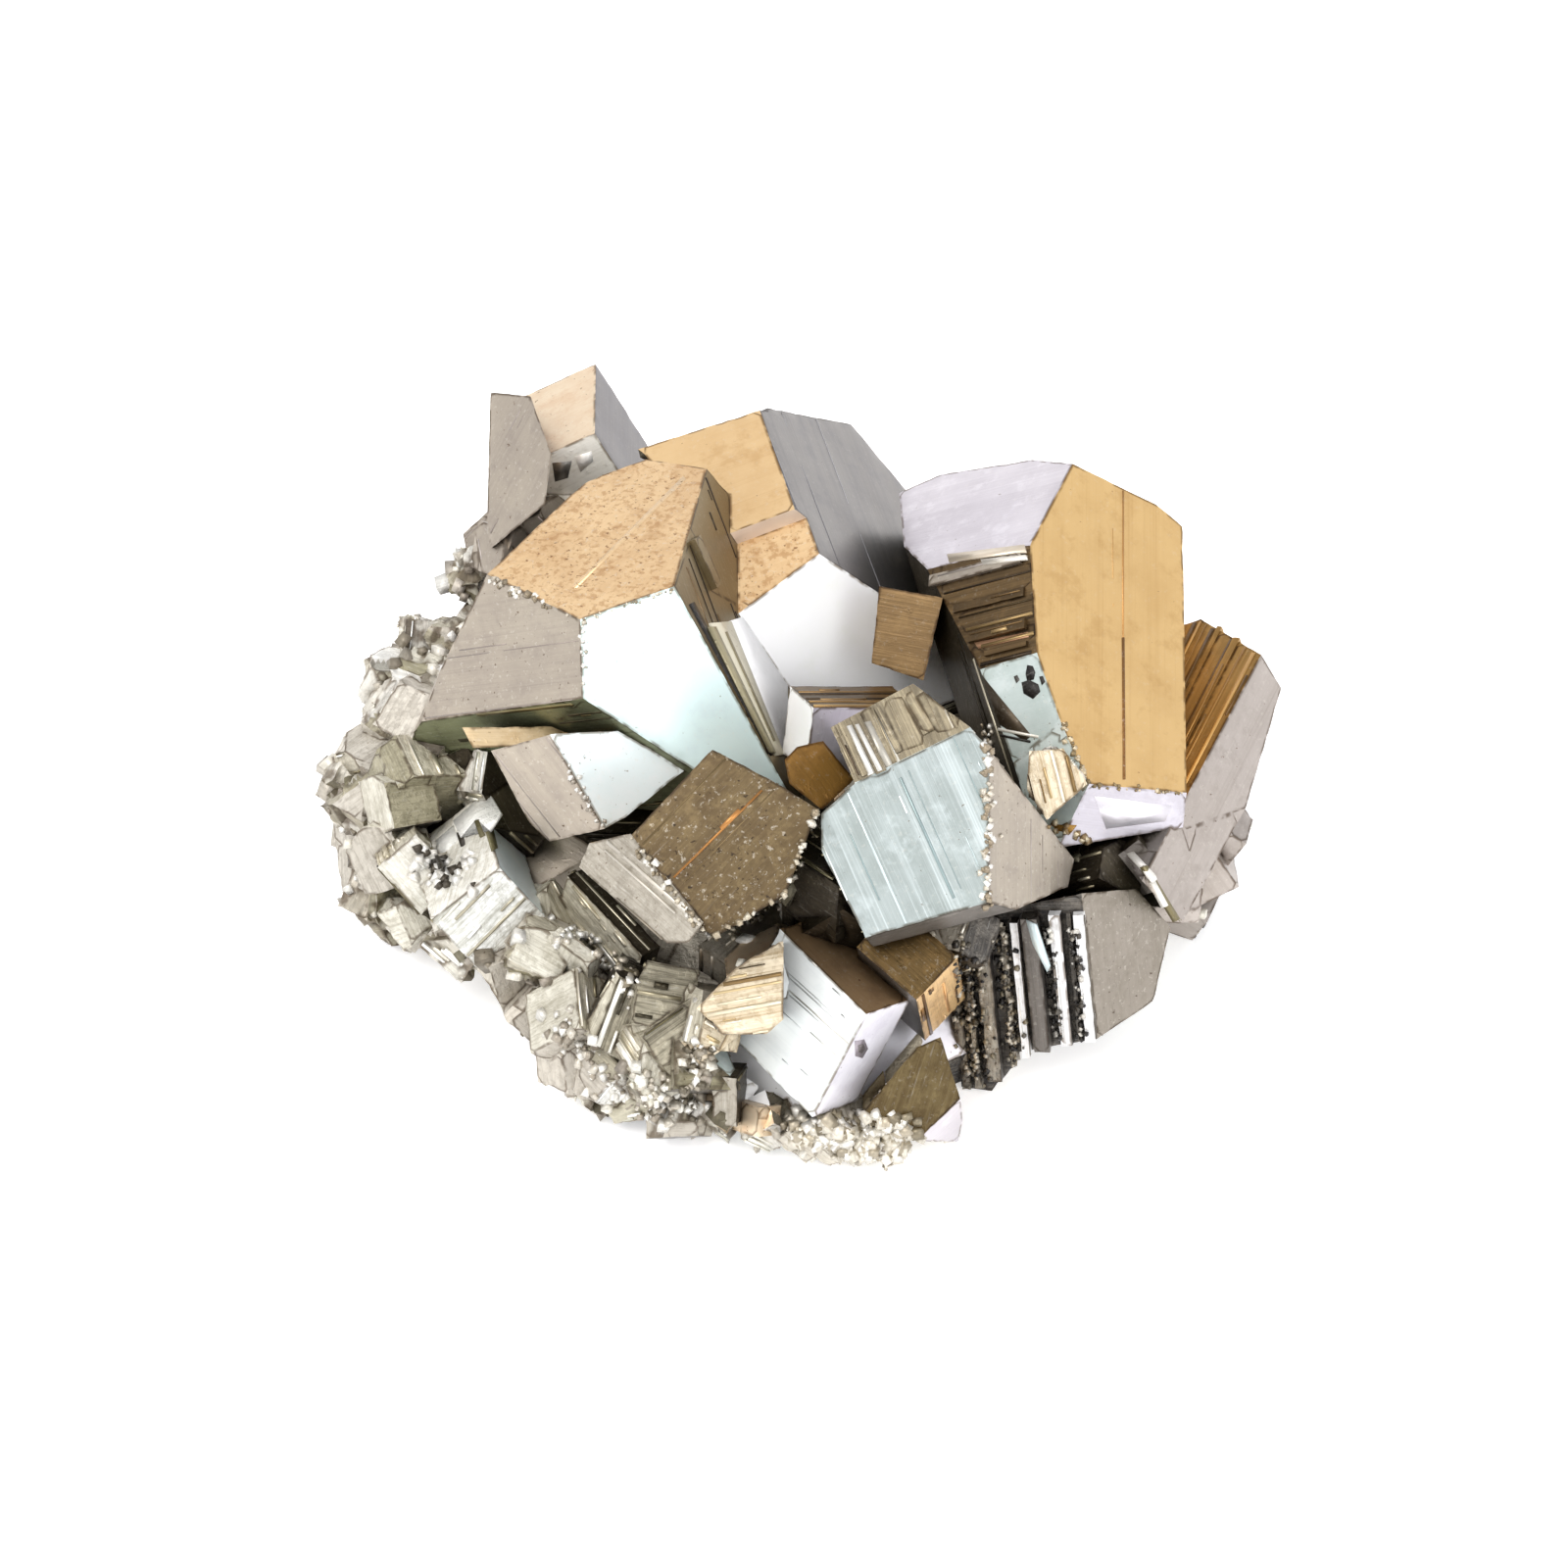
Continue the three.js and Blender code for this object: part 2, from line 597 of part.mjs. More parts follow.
// Crystals on the sides that the picture doesn't show: x, y and height of the middle, size, the share
// of the size at which the square faces cut, and how far the crystal is turned about X
const BACK_CRYSTALS = [
  [-19, 20, 5, 14, 1.02, 20], [-14, 27, 9, 15, 0.98, 75], [0, 27, 5, 16, 1.04, 130],
  [13, 25, 3, 15, 0.96, 200], [21, 19, 8, 15, 1.03, 250], [27, 13, 6, 11, 0.98, 300],
  [-23, 12, 5, 10, 1.0, 340], [6, 31, 5, 11, 0.97, 40], [-8, 31, 6, 11, 1.03, 100],
];

// The turns about X, Y and Z for each degree in the last column
const TURN_SHARES = [1, 0.7, 1.3];

function backCrystals() {
  return BACK_CRYSTALS.map(([x, y, z, size, squareShare, turned]) => {
    const turn = new THREE.Euler(...TURN_SHARES.map((share) => radians(share * turned)));
    return wholeCrystal(vector(x, y, z), size, squareShare, turn);
  });
}

// Granular lumps around the foot of the sides and the back, on an oval about the middle of the core
const CORE_MIDDLE = [0, 6];
const LUMP_OVAL = [30, 25];
const LUMP_ANGLES = [-12, 192];

function backRubble() {
  const random = seeded(23);
  const [middleX, middleY] = CORE_MIDDLE;
  const [halfWidth, halfDepth] = LUMP_OVAL;
  const [first, last] = LUMP_ANGLES.map(radians);
  const pieces = [];
  for (let i = 0; i < BACK_LUMPS; i++) {
    const angle = first + ((last - first) * i) / (BACK_LUMPS - 1);
    const place = vector(
      middleX + halfWidth * Math.cos(angle),
      middleY + halfDepth * Math.sin(angle),
      between(BACK_LUMP_HEIGHT, random),
    );
    pieces.push(lump(place, between(BACK_LUMP_SIZE, random), random));
  }
  return pieces;
}

// The mass under the crystals: its outline on the base, and the heights and shares of its rings
const CORE_OUTLINE = [
  [-33, 3], [-23, -5], [-17, -14], [-12, -17], [3, -22], [14, -16], [25, -8], [31, 6], [32, 14],
  [29, 20], [22, 26], [12, 28], [0, 28], [-12, 28], [-22, 24], [-28, 17], [-32, 9],
];
const CORE_RINGS = [
  [-CORE_BURIAL, 1],
  [3, 0.98],
  [6, 0.84],
  [8, 0.6],
  [9, 0.35],
];

function core() {
  const count = CORE_OUTLINE.length;
  const [middleX, middleY] = CORE_MIDDLE;
  const positions = [middleX, middleY, CORE_RINGS[0][0]];
  const triangles = [];
  for (const [height, share] of CORE_RINGS) {
    for (const [x, y] of CORE_OUTLINE) {
      positions.push(middleX + share * (x - middleX), middleY + share * (y - middleY), height);
    }
  }
  const at = (ring, i) => 1 + ring * count + (i % count);
  const last = CORE_RINGS.length - 1;
  const top = positions.length / 3;
  positions.push(middleX, middleY, CORE_RINGS[last][0] + 1);
  for (let i = 0; i < count; i++) {
    triangles.push(0, at(0, i + 1), at(0, i));
    for (let ring = 0; ring < last; ring++) {
      triangles.push(at(ring, i), at(ring, i + 1), at(ring + 1, i + 1));
      triangles.push(at(ring, i), at(ring + 1, i + 1), at(ring + 1, i));
    }
    triangles.push(at(last, i), at(last, i + 1), top);
  }
  return solidFrom(positions, triangles);
}

// One body: the pieces joined and cut flat at the base
function joined(pieces) {
  let body = core();
  for (const piece of pieces) body = body.add(piece);
  const below = solidBehind(boxPlanes(vector(0, 0, BASE_LEVEL - SPECIMEN_WIDTH), SPECIMEN_WIDTH));
  const shells = body.subtract(below).decompose();
  return shells.reduce((largest, shell) => (shell.volume() > largest.volume() ? shell : largest));
}

const cluster = joined([
  ...leftCrystal(),
  ...backCrystal(),
  ...rightCrystal(),
  ...farRightCrystal(),
  ...middleBlocks(),
  ...centreRightCrystal(),
  ...centreCrystal(),
  ...topLeftCrystal(),
  ...leftBoxes(),
  ...bottomBlocks(),
  ...ribbedBlock(),
  ...smallBlocks(),
  ...rubble(),
  ...backCrystals(),
  ...backRubble(),
]);

// Corners of the joined body that are closer than this become one
const SAME_CORNER = 1e-4;

function geometryOf(solid) {
  const mesh = solid.getMesh();
  const geometry = new THREE.BufferGeometry();
  geometry.setAttribute("position", new THREE.BufferAttribute(new Float32Array(mesh.vertProperties), 3));
  geometry.setIndex(new THREE.BufferAttribute(new Uint32Array(mesh.triVerts), 1));
  return mergeVertices(geometry, SAME_CORNER);
}

const pyrite = new THREE.MeshStandardMaterial({ color: 0xcbb489, roughness: 0.3, metalness: 1 });
const specimen = new THREE.Group();
const clusterMesh = new THREE.Mesh(geometryOf(cluster), pyrite);
clusterMesh.name = "pyrite_cluster";
specimen.add(clusterMesh);

export default specimen;
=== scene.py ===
# %% [markdown]
# # A pyrite specimen
# Pyrite is iron sulphide. It grows as brassy crystals with flat, finely lined faces that reflect like
# a worn mirror. This lesson dresses a faceted solid of a cluster so that it looks grown and not cut.
# The solid comes first: it is the frame, in metres, and it is never moved or changed.

# %% Load the frame
import json
import math

import bmesh
import bpy
import numpy as np
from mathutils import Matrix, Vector
from mathutils.bvhtree import BVHTree
from mathutils.geometry import delaunay_2d_cdt, tessellate_polygon
from mathutils.kdtree import KDTree

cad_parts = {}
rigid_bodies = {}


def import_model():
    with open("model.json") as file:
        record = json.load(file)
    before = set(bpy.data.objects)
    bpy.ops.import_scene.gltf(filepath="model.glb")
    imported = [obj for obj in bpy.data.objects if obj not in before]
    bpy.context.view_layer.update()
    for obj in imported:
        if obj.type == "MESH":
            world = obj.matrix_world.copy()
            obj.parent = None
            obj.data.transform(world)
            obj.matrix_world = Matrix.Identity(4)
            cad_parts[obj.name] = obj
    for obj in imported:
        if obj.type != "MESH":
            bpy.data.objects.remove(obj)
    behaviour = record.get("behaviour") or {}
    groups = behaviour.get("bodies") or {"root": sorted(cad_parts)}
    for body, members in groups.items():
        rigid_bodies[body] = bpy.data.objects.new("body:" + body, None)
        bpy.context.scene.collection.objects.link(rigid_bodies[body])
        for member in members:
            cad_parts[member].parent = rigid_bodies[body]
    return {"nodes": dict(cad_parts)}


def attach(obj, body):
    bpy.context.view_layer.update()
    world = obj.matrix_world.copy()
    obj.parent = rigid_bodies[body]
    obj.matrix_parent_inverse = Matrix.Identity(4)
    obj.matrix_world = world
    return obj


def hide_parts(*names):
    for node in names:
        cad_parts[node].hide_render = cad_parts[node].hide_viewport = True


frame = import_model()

MM = 0.001
scene = bpy.context.scene
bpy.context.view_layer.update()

# %% [markdown]
# ## Camera
# The picture looks down on the specimen by about fifty degrees, from 420 mm away. Faces are named below
# by a place in that picture, 1600 units wide, so the camera comes first and gives the line of sight
# through any place. A ray is simpler and steadier here than a list of face numbers, which would change
# with each rebuild of the solid.

# %% The camera and its lines of sight
PICTURE = 1600
SPECIMEN_WIDTH = 71.0  # mm between the outermost points of the specimen that the picture shows
SPECIMEN_IN_PICTURE = 985  # the same width in units of the picture
WIDTH_SEEN = SPECIMEN_WIDTH * PICTURE / SPECIMEN_IN_PICTURE
SIGHT = np.array([0.0, 0.0, 15.0])
ELEVATION = math.radians(50)
DISTANCE = 420.0
SENSOR = 36.0
NEAREST_SEEN = 0.01  # metres
ACROSS = np.array([1.0, 0.0, 0.0])
UP = np.array([0.0, math.sin(ELEVATION), math.cos(ELEVATION)])
TOWARD = np.array([0.0, -math.cos(ELEVATION), math.sin(ELEVATION)])
EYE = SIGHT + DISTANCE * TOWARD

camera_data = bpy.data.cameras.new("camera")
camera_data.sensor_width = SENSOR
camera_data.lens = SENSOR * DISTANCE / WIDTH_SEEN
camera_data.clip_start = NEAREST_SEEN
camera = bpy.data.objects.new("camera", camera_data)
camera.location = Vector(EYE * MM)
camera.rotation_mode = "QUATERNION"
camera.rotation_quaternion = Vector(-TOWARD).to_track_quat("-Z", "Y")
scene.collection.objects.link(camera)
scene.camera = camera


def sight_line(place):
    """The direction from the eye through a place: the aim point plus the place's step across and up."""
    across, down = place
    scale = WIDTH_SEEN / PICTURE
    sideways, upwards = (across - PICTURE / 2) * scale * ACROSS, (PICTURE / 2 - down) * scale * UP
    ray = SIGHT + sideways + upwards - EYE
    return ray / np.linalg.norm(ray)


print("lens in mm:", round(camera_data.lens, 1))

# %% [markdown]
# ## The body as flat faces
# The solid arrives as loose triangles. A real crystal face is one plane, so the triangles of each plane
# are merged into one polygon first. Everything later is decided a face at a time: its tint, the way its
# growth lines run, and how pitted it is.

# %% Merge the solid's triangles into flat faces
MERGE_ANGLE = math.radians(0.4)
MERGE_DISTANCE = 2e-6  # metres
SAME_PLANE = 0.9999  # the least cosine between the normals of two polygons of one plane
cad_node = frame["nodes"]["pyrite_cluster"]
body = bmesh.new()
body.from_mesh(cad_node.data)
bmesh.ops.remove_doubles(body, verts=body.verts, dist=MERGE_DISTANCE)
bmesh.ops.dissolve_limit(body, angle_limit=MERGE_ANGLE, verts=body.verts, edges=body.edges)
body.faces.ensure_lookup_table()
body.verts.ensure_lookup_table()
body.normal_update()
points = np.array([v.co for v in body.verts]) / MM
polygons = [[v.index for v in f.verts] for f in body.faces]
face_normals = np.array([f.normal for f in body.faces])
face_areas = np.array([f.calc_area() for f in body.faces]) / MM**2
tree = BVHTree.FromBMesh(body)
print(len(polygons), "flat faces,", len(points), "corners,", round(face_areas.sum()), "mm2")


def hit(place):
    """(point in mm, face number) where the line of sight through a place meets the body, or None."""
    where, _, index, _ = tree.ray_cast(Vector(EYE * MM), Vector(sight_line(place)))
    return None if where is None else (np.array(where) / MM, index)


def same_plane(start):
    """The numbers of all polygons that touch the first one, edge to edge, and lie in its plane."""
    found, front = {start}, [start]
    while front:
        for edge in body.faces[front.pop()].edges:
            for other in edge.link_faces:
                turn = float(np.dot(face_normals[other.index], face_normals[start]))
                if turn > SAME_PLANE and other.index not in found:
                    found.add(other.index)
                    front.append(other.index)
    return sorted(found)


# %% [markdown]
# ## Finishes
# Each crystal face mirrors another part of the room and has its own film of tarnish. A finish is a tint,
# the tint of its growth lines, and four amounts from 0 to 1: how lined, how pitted, how crusty and how
# metallic the face is. Each tint is that tarnish and a painted reflection in one: the colour of what the
# face mirrors is painted into it. The tints are stored on the mesh, so one material serves every face.

# %% The finishes, as tints and amounts
def linear(code):
    """A #rrggbb colour as linear light: each channel c becomes ((c + 0.055) / 1.055) ** 2.4."""
    channels = [int(code[i : i + 2], 16) / 255 for i in (1, 3, 5)]
    return [c / 12.92 if c <= 0.04045 else ((c + 0.055) / 1.055) ** 2.4 for c in channels]


def palette(codes):
    """The #rrggbb colours of one line of text, as rows of linear light."""
    return np.array([linear(code) for code in codes.split()])


FINISHES = {
    # name: tint, tint of the lines, lined, pitted, crusty, metallic
    # the whites, pale blues, lilacs and silver are painted reflections of the bright room and card
    "gold": ("#edcb98", "#c79b62", 0.25, 0.35, 0.0, 0.8),
    "deep gold": ("#dbb87f", "#b58d55", 0.3, 0.25, 0.0, 0.8),
    "pale gold": ("#d6c09a", "#a98a5c", 0.4, 0.5, 0.1, 0.7),
    "speckled gold": ("#f0cf9f", "#ab7740", 0.12, 0.8, 0.1, 0.8),
    "peach": ("#e6d3b6", "#cfa67c", 0.15, 0.6, 0.1, 0.7),
    "white": ("#def3f0", "#cfe0e2", 0.15, 0.35, 0.0, 0.3),
    "bright": ("#ffffff", "#f4f6ee", 0.05, 0.05, 0.0, 0.1),
    "lined white": ("#f2f6f3", "#dde2e1", 0.6, 0.05, 0.0, 0.1),
    "pale blue": ("#c0cdc8", "#f4fbfb", 0.15, 0.5, 0.05, 0.45),
    "lined blue": ("#9fa8a4", "#dfe9e8", 0.8, 0.45, 0.05, 0.6),
    "lilac": ("#bcb7be", "#e8e6ef", 0.2, 0.35, 0.1, 0.5),
    "pale lilac": ("#f4f2f7", "#d3cdd8", 0.2, 0.35, 0.1, 0.15),
    "warm lilac": ("#c4bec3", "#efebef", 0.3, 0.3, 0.1, 0.7),
    "lilac grey": ("#aba192", "#8a8078", 0.45, 0.55, 0.1, 0.7),
    "stone grey": ("#b9b0a8", "#948a80", 0.45, 0.5, 0.1, 0.7),
    "grey": ("#b3ac9e", "#776f60", 0.5, 0.6, 0.45, 0.5),
    "dull grey": ("#c6bfb2", "#8d8577", 0.3, 0.4, 0.45, 0.3),
    "dark grey": ("#7f7b77", "#6a686a", 0.45, 0.15, 0.0, 0.8),
    "shaded grey": ("#504a48", "#545156", 0.45, 0.15, 0.0, 0.8),
    "silver": ("#fbf8ee", "#b3ab98", 0.3, 0.3, 0.2, 0.2),
    "bright blue": ("#eefafa", "#ffffff", 0.1, 0.5, 0.05, 0.2),
    "striped gold": ("#8a6a38", "#c0975a", 0.9, 0.2, 0.0, 0.8),
    "streaked brown": ("#5d5546", "#aca084", 0.9, 0.3, 0.05, 0.75),
    "taupe grey": ("#8f877c", "#726a5c", 0.45, 0.6, 0.15, 0.7),
    "slate": ("#77716a", "#3e3a36", 0.4, 0.3, 0.1, 0.6),
    "brown": ("#483a25", "#7d6c4c", 0.25, 0.6, 0.08, 0.75),
    "ochre brown": ("#6f583a", "#93774f", 0.6, 0.2, 0.1, 0.75),
    "striped brown": ("#4d3e2a", "#846a45", 0.9, 0.2, 0.0, 0.8),
    "dark brown": ("#7f7153", "#85704f", 0.5, 0.2, 0.1, 0.75),
    "gold brown": ("#9c7339", "#56401f", 0.3, 0.3, 0.15, 0.75),
    "dim gold": ("#403115", "#7a5f36", 0.3, 0.3, 0.15, 0.75),
    "red brown": ("#a08462", "#6e543f", 0.3, 0.4, 0.1, 0.6),
    "dark": ("#383126", "#5f5644", 0.4, 0.3, 0.2, 0.6),
    "olive": ("#919776", "#4d4731", 0.6, 0.3, 0.2, 0.6),
    "brown olive": ("#5c4b2e", "#8f7e56", 0.6, 0.3, 0.2, 0.7),
    "cream": ("#ecdfc4", "#94784a", 1.0, 0.2, 0.4, 0.4),
    "fibrous": ("#ded8c4", "#857d68", 1.0, 0.3, 0.7, 0.2),
    "groove": ("#d8c3ad", "#bda491", 0.3, 0.3, 0.0, 0.7),
    "orange": ("#f9d398", "#8e6238", 0.5, 0.3, 0.3, 0.6),
    "speckled black": ("#262424", "#8e877c", 0.5, 0.1, 0.45, 0.5),
    "speckled grey": ("#5c5851", "#a79f8f", 0.4, 0.9, 0.8, 0.4),
    "pale rib": ("#ffffff", "#9b968c", 0.4, 0.2, 0.25, 0.3),
    "taupe": ("#d7ceb9", "#6f6652", 0.8, 0.5, 0.8, 0.3),
    "rubble grey": ("#c6beab", "#5f5849", 0.8, 0.5, 0.8, 0.3),
    "rubble cream": ("#f1ecda", "#8a8067", 0.8, 0.4, 0.7, 0.25),
    "rubble olive": ("#b2ac88", "#4f4932", 0.8, 0.4, 0.8, 0.35),
    "rubble pale": ("#fafbf6", "#8f8c79", 0.8, 0.3, 0.6, 0.2),
    "splinters": ("#b9b19a", "#4d4735", 1.0, 0.3, 0.8, 0.3),
    "chunk white": ("#f7f5ec", "#a9a28c", 0.5, 0.3, 0.55, 0.1),
    "chunk pale": ("#e2decf", "#8f8872", 0.5, 0.4, 0.55, 0.15),
    "chunk grey": ("#cdc7ba", "#857d6f", 0.4, 0.4, 0.5, 0.2),
    "chunk olive": ("#a8a187", "#645e47", 0.5, 0.4, 0.5, 0.3),
    "sugar white": ("#f1ecdf", "#a59a84", 0.2, 0.3, 0.9, 0.2),
}
FINISH_NAMES = list(FINISHES)
TINTS = np.array([linear(f[0]) for f in FINISHES.values()])
LINES = np.array([linear(f[1]) for f in FINISHES.values()])
AMOUNT_NAMES = ["lined", "pitted", "crusty", "metallic"]
AMOUNTS = np.array([f[2:] for f in FINISHES.values()])
print(len(FINISHES), "finishes")

# %% [markdown]
# The faces that the picture shows well are named one by one: a place on the face, its finish, and two
# places that give the way its growth lines run. Each finish was chosen face by face, because one gold for
# all of them looks like a casting: real crystals each catch another part of the room.

# %% The large faces that the picture shows
# each finish paints in the reflection that its face shows, as well as its tarnish
FACES = [
    # a place on the face, its finish, and the two ends of one of its growth lines
    # the top left crystal
    ((575, 415), "peach", (545, 470), (607, 442)),
    ((632, 430), "shaded grey", (608, 442), (608, 368)),
    ((585, 470), "silver", (562, 500), (620, 470)),
    ((505, 550), "lilac grey", (500, 585), (530, 530)),
    # the big left crystal
    ((640, 560), "speckled gold", (595, 640), (715, 500)),
    ((690, 700), "white", (592, 632), (705, 784)),
    ((540, 660), "lilac grey", (450, 730), (595, 712)),
    ((560, 722), "olive", (450, 738), (595, 722)),
    ((725, 560), "dark brown", (705, 520), (750, 640)),
    # the back crystal
    ((770, 470), "gold", (750, 543), (820, 516)),
    ((790, 570), "speckled gold", (750, 543), (820, 516)),
    ((780, 532), "groove", (750, 543), (820, 516)),
    ((870, 520), "dark grey", (790, 430), (850, 590)),
    ((820, 650), "bright", (745, 640), (795, 775)),
    # the big right crystal
    ((1150, 650), "deep gold", (1146, 500), (1146, 800)),
    ((1000, 530), "warm lilac", (925, 586), (1051, 556)),
    ((990, 640), "striped brown", (950, 594), (1044, 569)),
    ((1030, 700), "pale blue", (1000, 683), (1058, 666)),
    ((1085, 755), "pale blue", (1058, 666), (1083, 738)),
    ((1160, 830), "lilac", (1111, 800), (1205, 812)),
    # the far right crystal
    ((1235, 690), "striped gold", (1262, 652), (1206, 762)),
    ((1250, 800), "stone grey", (1287, 668), (1215, 808)),
    # the blocks in the middle
    ((925, 645), "ochre brown", (897, 640), (950, 650)),
    ((870, 705), "striped brown", (830, 722), (935, 722)),
    ((850, 735), "lilac", (835, 722), (828, 755)),
    ((835, 790), "gold brown", (800, 775), (838, 826)),
    ((1070, 800), "cream", (1050, 765), (1068, 838)),
    # the centre right crystal
    ((930, 860), "lined blue", (872, 799), (935, 940)),
    ((895, 750), "streaked brown", (858, 737), (883, 792)),
    ((1050, 860), "lilac grey", (1045, 780), (1045, 910)),
    ((940, 950), "slate", (883, 957), (1008, 921)),
    # the centre crystal
    ((740, 860), "brown", (685, 900), (780, 802)),
    ((660, 910), "grey", (600, 870), (700, 960)),
    # the left boxes
    ((630, 790), "bright blue", (580, 748), (702, 785)),
    ((550, 810), "lilac grey", (530, 770), (600, 860)),
    ((510, 752), "pale gold", (480, 752), (560, 752)),
    ((530, 880), "bright blue", (500, 801), (553, 885)),
    ((500, 925), "rubble pale", (450, 945), (510, 885)),
    ((470, 870), "chunk white", (450, 945), (487, 812)),
    # the bottom blocks
    ((860, 1040), "lined white", (800, 960), (884, 1035)),
    ((905, 1060), "pale lilac", (884, 1035), (830, 1138)),
    ((860, 980), "red brown", (798, 950), (884, 1035)),
    ((755, 1025), "cream", (700, 1018), (798, 1000)),
    ((920, 990), "dim gold", (875, 968), (935, 1021)),
    ((955, 1030), "orange", (935, 1022), (944, 1062)),
    ((940, 1110), "brown olive", (960, 1060), (930, 1150)),
    ((955, 1155), "warm lilac", (982, 1120), (935, 1165)),
    # the ribbed block
    ((1150, 960), "taupe grey", (1105, 925), (1120, 1060)),
    ((979, 1045), "speckled grey", (975, 975), (990, 1110)),
    ((993, 1038), "speckled grey", (987, 966), (1000, 1106)),
    ((1011, 1028), "speckled grey", (1003, 953), (1018, 1098)),
    ((1030, 1015), "speckled grey", (1024, 942), (1036, 1085)),
    ((1042, 1008), "pale rib", (1036, 936), (1049, 1075)),
    ((1059, 1000), "slate", (1052, 930), (1066, 1066)),
    ((1083, 998), "pale rib", (1077, 929), (1090, 1063)),
    ((1107, 998), "pale rib", (1101, 930), (1114, 1060)),
]
print(len(FACES), "large faces")

# %% [markdown]
# The smaller faces fill the gaps between the crystals and make up the foot. There a place and a finish
# are enough. The lines of a small face run along its longest side, as they mostly do on the real thing.

# %% The smaller faces that the picture shows
SMALLER_FACES = {
    # a finish, and a place on each small face that has it
    "bright": [(813, 728), (756, 1076), (768, 1109), (777, 1118)],
    "peach": [(777, 959), (765, 1136), (780, 1133), (786, 1136)],
    "pale blue": [(735, 1079)],
    "pale lilac": [(921, 1064)],
    "cream": [(723, 1055), (711, 1073), (750, 1067), (744, 1058)],
    "lilac grey": [
        (567, 872), (573, 896), (789, 932), (498, 566), (549, 530), (567, 512), (480, 545), (531, 542),
        (1032, 569),
    ],
    "grey": [
        (699, 974), (723, 983), (744, 959), (714, 1004), (972, 953), (738, 1124), (837, 1142), (813, 1130),
        (819, 1142), (678, 968),
    ],
    "dull grey": [
        (597, 1091), (558, 1094), (582, 1082), (582, 1064), (513, 998), (531, 1025), (531, 1040), (543, 1001),
        (690, 1151), (717, 1151),
    ],
    "stone grey": [
        (1245, 893), (1257, 887), (1221, 926), (1233, 926), (1212, 950), (1257, 860), (1272, 836),
        (1218, 935),
    ],
    "striped brown": [(1035, 605), (1032, 638), (1038, 656)],
    "striped gold": [(1269, 674), (1242, 641), (1257, 653), (1263, 656), (1245, 644)],
    "streaked brown": [(873, 734), (894, 722), (927, 713), (858, 737)],
    "dark brown": [(714, 548), (708, 551), (711, 548)],
    "speckled black": [
        (1092, 923), (999, 950), (1089, 932), (975, 1085), (1095, 953), (993, 995), (972, 1043), (987, 1064),
        (987, 1067),
    ],
    "slate": [(930, 1037), (1161, 863), (1176, 917), (1164, 881), (1173, 854)],
    "fibrous": [
        (429, 776), (420, 848), (648, 1070), (591, 926), (564, 905), (540, 938), (708, 1040), (618, 1019),
        (600, 1007),
    ],
    "chunk white": [(423, 881)],
    "chunk pale": [(546, 962), (663, 1097), (378, 806), (579, 977), (570, 953), (567, 1025), (399, 938)],
    "chunk grey": [(360, 815), (363, 758), (381, 854), (414, 716), (345, 851)],
    "chunk olive": [(399, 764), (417, 821), (456, 803)],
    "splinters": [(633, 1025), (678, 1004), (681, 1100), (672, 1058)],
    "dark": [
        (978, 677), (1113, 875), (1134, 884), (1131, 857), (1152, 857), (1164, 854), (1116, 902), (972, 716),
        (651, 830), (513, 824), (534, 860), (501, 791), (615, 920), (663, 977), (639, 986), (633, 977),
        (825, 911), (864, 938), (858, 947), (822, 941), (831, 860), (984, 980), (759, 1097), (468, 770),
        (444, 764), (1095, 863), (861, 926),
    ],
}
print(sum(len(places) for places in SMALLER_FACES.values()), "smaller faces")

# %% [markdown]
# Now each place is looked up on the solid. The whole plane under it takes the finish, and the two ends of
# its growth line are laid on that plane along their own lines of sight, so the lines lie flat on the face
# and still run in the picture as they were drawn.

# %% Lay the named finishes on the body
def plane_directions(normal, towards):
    """Two unit vectors in a plane: the given direction laid flat on it, and the one square to that."""
    along = towards - normal * np.dot(towards, normal)
    along /= np.linalg.norm(along)
    return along, np.cross(normal, along)


def on_plane(place, point, normal):
    """Where the line of sight through a place meets the plane of a face."""
    ray = sight_line(place)
    return EYE + ray * (np.dot(point - EYE, normal) / np.dot(ray, normal))


finish_of = np.full(len(polygons), -1)
along_of = np.zeros((len(polygons), 3))
for place, name, start, end in FACES:
    point, index = hit(place)
    normal = face_normals[index]
    group = same_plane(index)
    along, _ = plane_directions(normal, on_plane(end, point, normal) - on_plane(start, point, normal))
    finish_of[group] = FINISH_NAMES.index(name)
    along_of[group] = along
    area = face_areas[group].sum()
    print(f"{name:15} at {place}: {area:6.1f} mm2, normal {np.round(normal, 2).tolist()}")

for name, places in SMALLER_FACES.items():
    for place in places:
        found = hit(place)
        if found is not None and finish_of[found[1]] < 0:
            finish_of[same_plane(found[1])] = FINISH_NAMES.index(name)
print(int((finish_of >= 0).sum()), "of", len(polygons), "polygons named")

# %% [markdown]
# A face that isn't named takes a finish from the way it points, because neighbouring crystals that point
# the same way mirror the same part of the room: its tint is a reflection painted in by direction. So the
# sides that the picture doesn't show follow the same rule as the ones it does. Faces that look up are
# painted gold, faces to the left grey-lilac, faces to the front pale, and what looks down olive. Small
# faces belong to the broken foot. They are taupe, grey, cream or olive, and white at the very front. A
# seeded draw keeps the result the same each run.

# %% A finish from the way a face points
SMALL_FACE = 32.0  # mm2, for a plane that faces the camera
SMALL_HIDDEN_FACE = 12.0  # mm2, for a plane that faces away
SLENDER = 1.4  # mm, the greatest mean width of a rib's side
UPWARD, DOWNWARD, SIDEWARD, FORWARD = 0.8, -0.25, 0.45, -0.5  # parts of a unit normal
RUBBLE = ["taupe", "rubble grey", "taupe", "rubble cream", "rubble olive", "rubble pale"]
WHITE_FOOT = (868, 1160)
WHITE_REACH = (80, 34)
WHITE_HEIGHT = 9.0
draw = np.random.default_rng(11)
group_of = np.full(len(polygons), -1)


